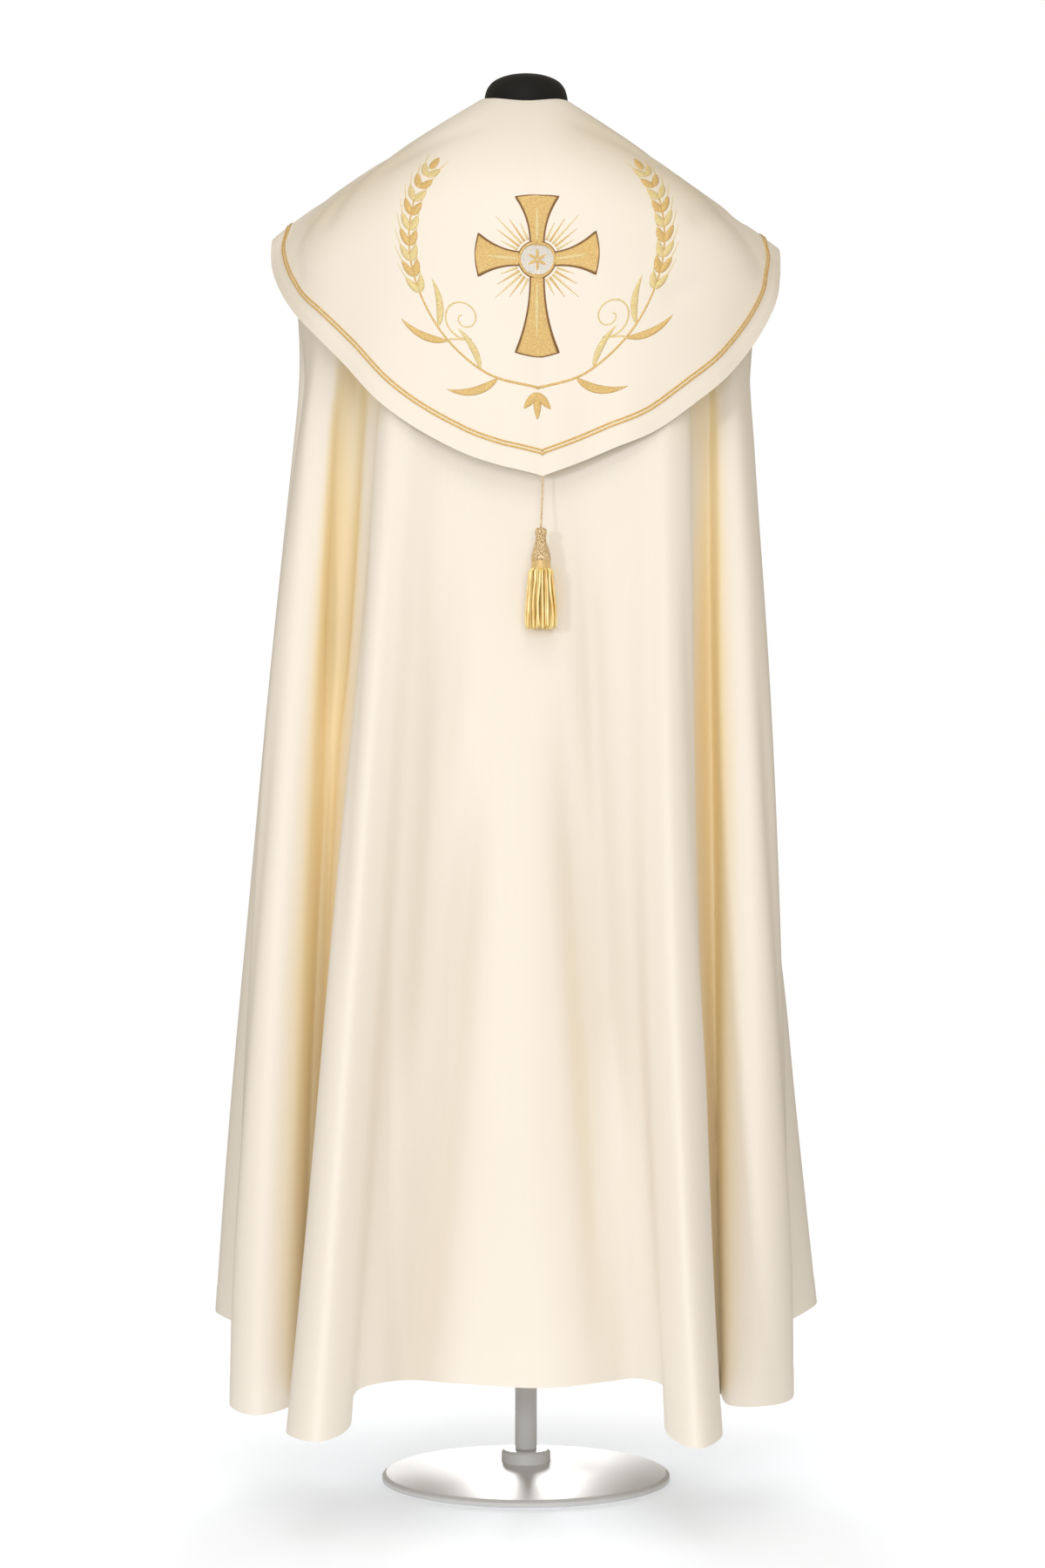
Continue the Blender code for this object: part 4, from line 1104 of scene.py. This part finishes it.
def stitched(path, half_widths, pad):
    """A padded band of satin stitch along a path on the pattern: (points, faces, uvs)."""
    path = np.asarray(path, float)
    half_widths = np.broadcast_to(np.asarray(half_widths, float), len(path))
    along = unit(np.gradient(path, axis=0))
    across = np.column_stack([-along[:, 1], along[:, 0]])
    far = run_lengths(path)
    marks, lifts, uvs = [], [], []
    for i, half in enumerate(half_widths):
        fullness = min(1.0, half / (2.0 * MM)) ** 0.5
        for side, up in SECTION:
            marks.append(path[i] + across[i] * half * side)
            lifts.append(max(up, -0.1) * pad * fullness)
            uvs.append((far[i], side * half))
    points, outs = on_design(marks)
    points = points + outs * np.array(lifts)[:, None]
    return points, ring_faces(len(path), len(SECTION)), np.array(uvs)


def leaf_widths(count, half, blunt=0.5):
    """Half widths of a leaf or grain along its length, nearly nothing at both ends."""
    t = np.linspace(0, 1, count)
    return np.maximum(half * np.sin(np.pi * t**0.8) ** blunt, 0.15 * MM)


def bent(start, heading, length, bend, count):
    """A path from a start, in degrees from straight up the hood, that bends by so many more."""
    turn = np.radians(heading + bend * np.linspace(0, 1, count))
    step = length / (count - 1)
    moves = np.column_stack([np.sin(turn), -np.cos(turn)])[:-1] * step
    return np.vstack([start, start + moves.cumsum(axis=0)])


shapes = {"gold": [], "pale": [], "brown": [], "silver": []}


def sew(tone, path, half_widths, pad):
    shapes[tone].append(stitched(path, half_widths, pad))


# The cross: each arm flares from a narrow neck to a bowed end, with a brown outline and a raised rib.
ARMS = [(0, 0.070), (90, 0.064), (180, 0.104), (270, 0.064)]  # heading, length
ARM_START = 16 * MM  # from the cross's heart
ARM_NECK, ARM_END, ARM_BOW = 7.5 * MM, 24 * MM, 3.5 * MM
cross = np.array(CROSS_AT)
for heading, length in ARMS:
    way = np.array([math.sin(math.radians(heading)), -math.cos(math.radians(heading))])
    side = np.array([-way[1], way[0]])
    t = np.linspace(0, 1, 26)
    widths = ARM_NECK + (ARM_END - ARM_NECK) * t**2.2
    path = cross + way * (ARM_START + (length - ARM_START) * t)[:, None]
    bow = np.linspace(0, np.pi / 2, 8)[1:]
    filled = np.vstack([path, path[-1] + way * ARM_BOW * np.sin(bow)[:, None]])
    full_widths = np.append(widths, ARM_END * (1 - 2 * bow / np.pi) + 0.1 * MM)
    sew("gold", filled, full_widths * 0.99, PAD * 0.8)
    bow = np.linspace(0, np.pi, 9)[1:-1, None]
    end = path[-1] + way * ARM_BOW * np.sin(bow) + side * widths[-1] * (1 - 2 * bow / np.pi)
    outline = np.vstack([path + side * widths[:, None], end, (path - side * widths[:, None])[::-1]])
    sew("brown", outline, 0.85 * MM, LINE_PAD * 2.2)
    for share in (-0.45, 0.45):
        sew("brown", path[3:-2] + side * (widths[3:-2, None] * share), 0.35 * MM, PAD * 1.15)
    rib = path[2:-4]
    sew("pale", rib, leaf_widths(len(rib), 2.6 * MM), PAD * 1.5)

# Rays between the arms, five in each corner, the middle one longest.
RAY_START = 24 * MM
for corner in (45, 135, 225, 315):
    for lean, length in ((-20, 0.044), (-10, 0.053), (0, 0.064), (10, 0.053), (20, 0.044)):
        start = bent(cross, corner + lean, RAY_START, 0, 2)[-1]
        ray = bent(start, corner + lean, length - RAY_START, 0, 8)
        tone = "gold" if lean in (-10, 10) else "pale"
        sew(tone, ray, np.linspace(1.5, 0.3, 8) * MM, LINE_PAD * 1.6)

# The disc at its heart: silver thread laid upright, ringed in gold and brown, with six small petals.
DISC = 19 * MM
PETAL_LONG, PETAL_HALF = 12.5 * MM, 2.3 * MM
t = np.linspace(-0.995, 0.995, 24)
sew("silver", cross + np.column_stack([t * DISC, 0 * t]), DISC * np.sqrt(1 - t**2), PAD * 1.3)
ring = np.radians(np.linspace(0, 360, 49))
circle = np.column_stack([np.sin(ring), -np.cos(ring)])
sew("gold", cross + circle * DISC, 1.6 * MM, PAD * 1.8)
sew("brown", cross + circle * (DISC + 1.9 * MM), 0.5 * MM, LINE_PAD * 2.4)
for heading in range(0, 360, 60):
    sew("gold", bent(cross, heading, PETAL_LONG, 0, 9), leaf_widths(9, PETAL_HALF), PAD * 1.9)

# The wheat: a bent stalk on each side, long blades low down, and an ear of paired grains with awns.
STALK = [(-0.002, 0.392), (0.056, 0.379), (0.107, 0.339), (0.138, 0.273), (0.136, 0.206), (0.113, 0.146)]
STALK_KNOTS = np.array([0, 0.2, 0.4, 0.62, 0.82, 1.0])
BLADES = [  # place on the stalk, of 60, lean from it, length, bend, half width in millimetres
    (9, 62, 0.062, -58, 4.6),
    (13, -50, 0.050, 42, 3.8),
    (21, 58, 0.056, -60, 4.4),
    (24, -52, 0.054, 46, 4.0),
]
GRAIN_LONG, GRAIN_HALF, GRAIN_LEAN, GRAIN_BLUNT = 20.5 * MM, 4.1 * MM, 34, 0.62
AWN_LONG, TIP_LONG, TIP_HALF = 19 * MM, 22 * MM, 4.0 * MM
SCROLL_AT, SCROLL_START = (0.080, 0.322), (0.101, 0.352)  # a small scroll inside each stalk
SCROLL_OUTER, SCROLL_INNER = 21 * MM, 3 * MM
stalk = smooth(STALK_KNOTS, np.array(STALK), np.linspace(0, 1, 60))
headings = np.degrees(np.arctan2(np.gradient(stalk[:, 0]), -np.gradient(stalk[:, 1])))
curl = np.linspace(0, 1, 40)
spin = np.radians(200 - 520 * curl)
reach = SCROLL_OUTER * (1 - curl) ** 0.9 + SCROLL_INNER
scroll = np.array(SCROLL_AT) + np.column_stack([np.sin(spin), -np.cos(spin)]) * reach[:, None]
scroll = np.vstack([bent(SCROLL_START, -60, 0.012, 10, 4)[:3], scroll])
for mirror in (-1, 1):
    flip = np.array([mirror, 1])
    sew("gold", stalk[:50] * flip, np.linspace(1.5, 0.9, 50) * MM, LINE_PAD * 1.5)
    for place, lean, length, bend, half in BLADES:
        blade = bent(stalk[place], headings[place] + lean, length, bend, 16) * flip
        sew("gold" if lean > 0 else "pale", blade, leaf_widths(16, half * MM, 0.8), PAD * 1.1)
        sew("brown", blade[1:-2], 0.3 * MM, PAD * 1.3)
    for place in range(31, 56, 3):
        for lean in (-GRAIN_LEAN, GRAIN_LEAN):
            grain = bent(stalk[place], headings[place] + lean, GRAIN_LONG, -lean * 0.55, 10)
            tone = "gold" if (place // 3) % 2 else "pale"
            sew(tone, grain * flip, leaf_widths(10, GRAIN_HALF, GRAIN_BLUNT), PAD * 1.4)
            sew("brown", grain[1:-2] * flip, 0.28 * MM, PAD * 1.55)
            awn = bent(grain[-2], headings[place] + lean * 0.45, AWN_LONG, -lean * 0.25, 8)
            sew("pale", awn * flip, np.linspace(0.7, 0.25, 8) * MM, LINE_PAD * 1.4)
    tip = bent(stalk[57], headings[57], TIP_LONG, -6, 10)
    sew("gold", tip * flip, leaf_widths(10, TIP_HALF, GRAIN_BLUNT), PAD * 1.4)
    sew("pale", scroll * flip, np.linspace(1.1, 0.7, len(scroll)) * MM, LINE_PAD * 1.5)

# A knot of three leaves where the stalks cross.
KNOT_AT = (0.0, 0.397)
for heading, length in ((-38, 0.024), (0, 0.030), (38, 0.024)):
    leaf = bent(KNOT_AT, 180 + heading, length, 0, 10)
    sew("gold", leaf, leaf_widths(10, 4.2 * MM, 0.7), PAD * 1.3)

THREADS = {
    "gold": gold("stitched_gold", (0.62, 0.37, 0.12), (0.90, 0.62, 0.26), 0.2, 0.42, 0.0005),
    "pale": gold("stitched_pale_gold", (0.74, 0.52, 0.22), (0.95, 0.76, 0.40), 0.2, 0.40, 0.0005),
    "brown": gold("stitched_brown", (0.13, 0.055, 0.018), (0.30, 0.14, 0.05), 0.1, 0.5, 0.0006),
    "silver": gold("stitched_silver", (0.58, 0.54, 0.50), (0.86, 0.82, 0.77), 0.3, 0.42, 0.0005),
}
for tone, parts in shapes.items():
    add_piece(joined(f"embroidery_{tone}", parts), THREADS[tone], "gold_cord")

# ------------------------------------------------------------------------------------- Tassel cord
# A thin cord laid up from three plies of gold and brown thread. It is sewn into the hood's point, and
# the tassel hangs from its lower end.
CORD_DIAMETER = 2.2 * MM
CORD_ROUTE = [  # from the hood's point to the top of the tassel's head
    (0.0180, -0.2062, 1.1314),
    (0.0174, -0.2104, 1.1083),
    (0.0160, -0.2202, 1.0755),
]
CORD_SHARES = np.array([0, 0.42, 1])  # how far along it those places are
PLIES, PLY_TURN, PLY_DEEP = 3, 9 * MM, 0.3  # its plies, the length of one twist and how deep the grooves are

route = smooth(CORD_SHARES, np.array(CORD_ROUTE), np.linspace(0, 1, 72))
back = np.tile((0.0, -1.0, 0.0), (len(route), 1))
twisted = tube(route, back, CORD_DIAMETER / 2, CORD_DIAMETER / 2, 18, PLIES, PLY_TURN, PLY_DEEP)
cord = joined("tassel_cord_twist", [twisted])
cord_gold = gold("cord_gold", (0.36, 0.15, 0.05), (0.93, 0.72, 0.42), 0.25, 0.4, 0.0022)
add_piece(cord, cord_gold, "gold_cord", "tassel_cord")

# ------------------------------------------------------------------------------------------ Tassel
# A turned wooden mould netted over with metal thread, a smooth wound collar under it, and a skirt of
# shiny twisted rayon loops that spread as they hang.
TASSEL_TOP = np.array([0.0160, -0.2202, 1.0750])
HEAD_PROFILE = [  # radius and depth below the cord's end
    (0.0012, 0.0000),
    (0.0042, 0.0003),
    (0.0061, 0.0022),
    (0.0064, 0.0060),
    (0.0056, 0.0096),
    (0.0057, 0.0130),
    (0.0070, 0.0178),
    (0.0094, 0.0255),
    (0.0107, 0.0325),
    (0.0108, 0.0352),
    (0.0098, 0.0362),
]
COLLAR_PROFILE = [(0.0092, 0.0350), (0.0101, 0.0362), (0.0104, 0.0400), (0.0106, 0.0440), (0.0100, 0.0460)]
NET_ROUND, NET_CELL, NET_DEEP = 14, 2.6 * MM, 0.45 * MM  # meshes round, and each one's length and depth
NET_DOTS = 1.2 * MM  # from one dark gap in the thread to the next
NARROW = 4 * MM  # radius below which the net and the windings die out
WOUND_TURN, WOUND_DEEP = 0.9 * MM, 0.12 * MM  # from one winding of the collar to the next, and their depth
NET_HOLE_SHADE, NET_BRIGHT = (0.26, 0.12, 0.03), (0.95, 0.72, 0.40)
SKIRT_TOP, SKIRT_LENGTH = 0.0435, 0.0668
SKIRT_RINGS = [  # strands, radius at the collar, radius at the ends, start angle
    (18, 0.0128, 0.0163, 0.0),
    (15, 0.0100, 0.0128, 0.2),
    (10, 0.0062, 0.0084, 0.5),
    (4, 0.0022, 0.0032, 0.1),
]
STRAND = 2.7 * MM  # thickness of one twisted strand
STRAND_TURN, STRAND_DEEP = 32 * MM, 0.12  # length of one twist, and how deep its grooves are
STRAND_SIDES, STRAND_ROWS, STRAND_PLIES = 12, 56, 2
SKIRT_TUCK = 3.6 * MM  # how far the loops are drawn in where they go under the collar
TUCK_FADE, SPREAD_FADE = 0.07, 0.3  # shares of the skirt's length over which they come out again
UNEVEN = 0.2  # how far a strand is off its even place, as a share of the gap between two
SHORTEST, THINNEST, THICKEST = 0.955, 0.8, 1.1  # shares of a strand's length and thickness
SWING, WAVE = 0.10, 0.075  # how far a strand swings round, and waves, in radians
WAVES = (1.5, 2.6)  # how many half waves it has
LOOSE = (-0.7, 0.9)  # millimetres by which it hangs in or out of its ring


def spun(name, outline, steps, sides, dent):
    """A turned shape on the tassel's axis, its surface dented by a function of the turn and the run."""
    outline = np.array(outline)
    knots = run_lengths(outline)
    run = np.linspace(0, knots[-1], steps)
    turn = np.arange(sides) * 2 * np.pi / sides
    points, uvs = [], []
    for (radius, drop), at in zip(smooth(knots, outline, run), run):
        r = radius - dent(turn, at) * min(1.0, radius / NARROW)
        points.append(np.column_stack([r * np.cos(turn), r * np.sin(turn), np.full(sides, -drop)]))
        uvs.append(np.column_stack([np.full(sides, at), turn * radius]))
    points = np.concatenate(points) + TASSEL_TOP
    return joined(name, [(points, ring_faces(steps, sides), np.concatenate(uvs))])


def netted(turn, run):
    """Diamond meshes of netted thread: deep in each cell and proud along its threads."""
    first = turn * NET_ROUND / 2 + run / NET_CELL * np.pi / 2
    second = turn * NET_ROUND / 2 - run / NET_CELL * np.pi / 2
    return NET_DEEP * (np.abs(np.sin(first)) * np.abs(np.sin(second))) ** 0.7


def wound(turn, run):
    """Thread wound round and round, with a groove between each turn and the next."""
    return WOUND_DEEP * (0.5 + 0.5 * np.cos(run / WOUND_TURN * 2 * np.pi + turn))


head = spun("tassel_head", HEAD_PROFILE, 90, 112, netted)
net_gold, tree, shader, place = new_finish("netted_gold", {"Metallic": 0.15, "Roughness": 0.36})
# Painted shade: the net's holes are painted dark brown where they sink between the threads over the mould,
# and the threads bright.
meshes = add_node(tree, "ShaderNodeTexVoronoi", {"Scale": 1 / NET_DOTS, "Randomness": 0.72})
tree.links.new(place["Object"], meshes.inputs["Vector"])
gap = add_range(tree, meshes.outputs["Distance"], 1, 0, 0.22, 0.46)
wear = add_noise(tree, place["Object"], 900, 2)
worn = add_blend(tree, wear, NET_BRIGHT, tuple(c * 0.7 for c in NET_BRIGHT))
tree.links.new(add_blend(tree, gap, worn, NET_HOLE_SHADE), shader.inputs["Base Color"])
tree.links.new(add_range(tree, gap, 0.3, 0.7), shader.inputs["Roughness"])
add_bump(tree, shader, add_range(tree, gap, 1, 0), 0.8, 0.0006)
add_piece(head, net_gold, "gold_cord", "tassel")
collar = spun("tassel_collar", COLLAR_PROFILE, 60, 64, wound)
wound_gold = gold("wound_gold", (0.66, 0.45, 0.19), (0.80, 0.58, 0.27), 0.4, 0.36, WOUND_TURN)
add_piece(collar, wound_gold, "gold_cord", "tassel")

draw = np.random.default_rng(11)
down = np.linspace(0, 1, STRAND_ROWS)
strands = []
for count, top_r, end_r, start in SKIRT_RINGS:
    for k in range(count):
        turn = start + 2 * np.pi * (k + draw.uniform(-UNEVEN, UNEVEN)) / count
        length = SKIRT_LENGTH * draw.uniform(SHORTEST, 1.0)
        swing = draw.uniform(-SWING, SWING)
        tucked = SKIRT_TUCK * ramp(1 - down / TUCK_FADE) * min(1.0, top_r / 0.01)
        spread = (end_r - top_r) * ramp(down * 1.1) + draw.uniform(*LOOSE) * MM * ramp(down / SPREAD_FADE)
        radius = top_r + spread - tucked
        wave = draw.uniform(-1, 1) * WAVE
        wave = wave * np.sin(down * np.pi * draw.uniform(*WAVES) + draw.uniform(0, 6))
        angle = turn + swing * down + wave
        out = np.column_stack([np.cos(angle), np.sin(angle), 0 * angle])
        path = out * radius[:, None] - np.outer(SKIRT_TOP + length * down, (0, 0, 1))
        rounded = np.minimum(1.0, ((1 - down) / 0.03 + 0.25)) ** 0.5
        half = STRAND / 2 * rounded * draw.uniform(THINNEST, THICKEST)
        path = path + TASSEL_TOP
        strands.append(tube(path, out, half, half, STRAND_SIDES, STRAND_PLIES, STRAND_TURN, STRAND_DEEP))
skirt = joined("tassel_skirt", strands)
rayon, tree, shader, place = new_finish(
    "rayon_gold",
    {
        "Metallic": 0.05,
        "Roughness": 0.3,
        "Specular IOR Level": 0.9,
        "Coat Weight": 0.7,
        "Coat Roughness": 0.12,
    },
)
# Painted shade and highlight: strands deeper in the skirt are painted darker, and streaks along the fibres
# are painted towards a pale highlight colour.
deep_strand_shade = add_noise(tree, place["Object"], 1.0, 2, (330, 330, 22))
fibre = add_noise(tree, place["UV"], 1.0, 2, (240, 26, 1))
strand_shade_and_highlight = add_blend(tree, add_range(tree, deep_strand_shade, 0, 1, 0.35, 0.62), (0.86, 0.50, 0.06), (1.0, 0.86, 0.34))
strand_shade_and_highlight = add_blend(tree, add_range(tree, fibre, 0, 0.5, 0.4, 0.75), strand_shade_and_highlight, (1.0, 0.93, 0.62))
tree.links.new(strand_shade_and_highlight, shader.inputs["Base Color"])
add_bump(tree, shader, fibre, 0.35, 0.0003)
add_piece(skirt, rayon, "gold_cord", "tassel")
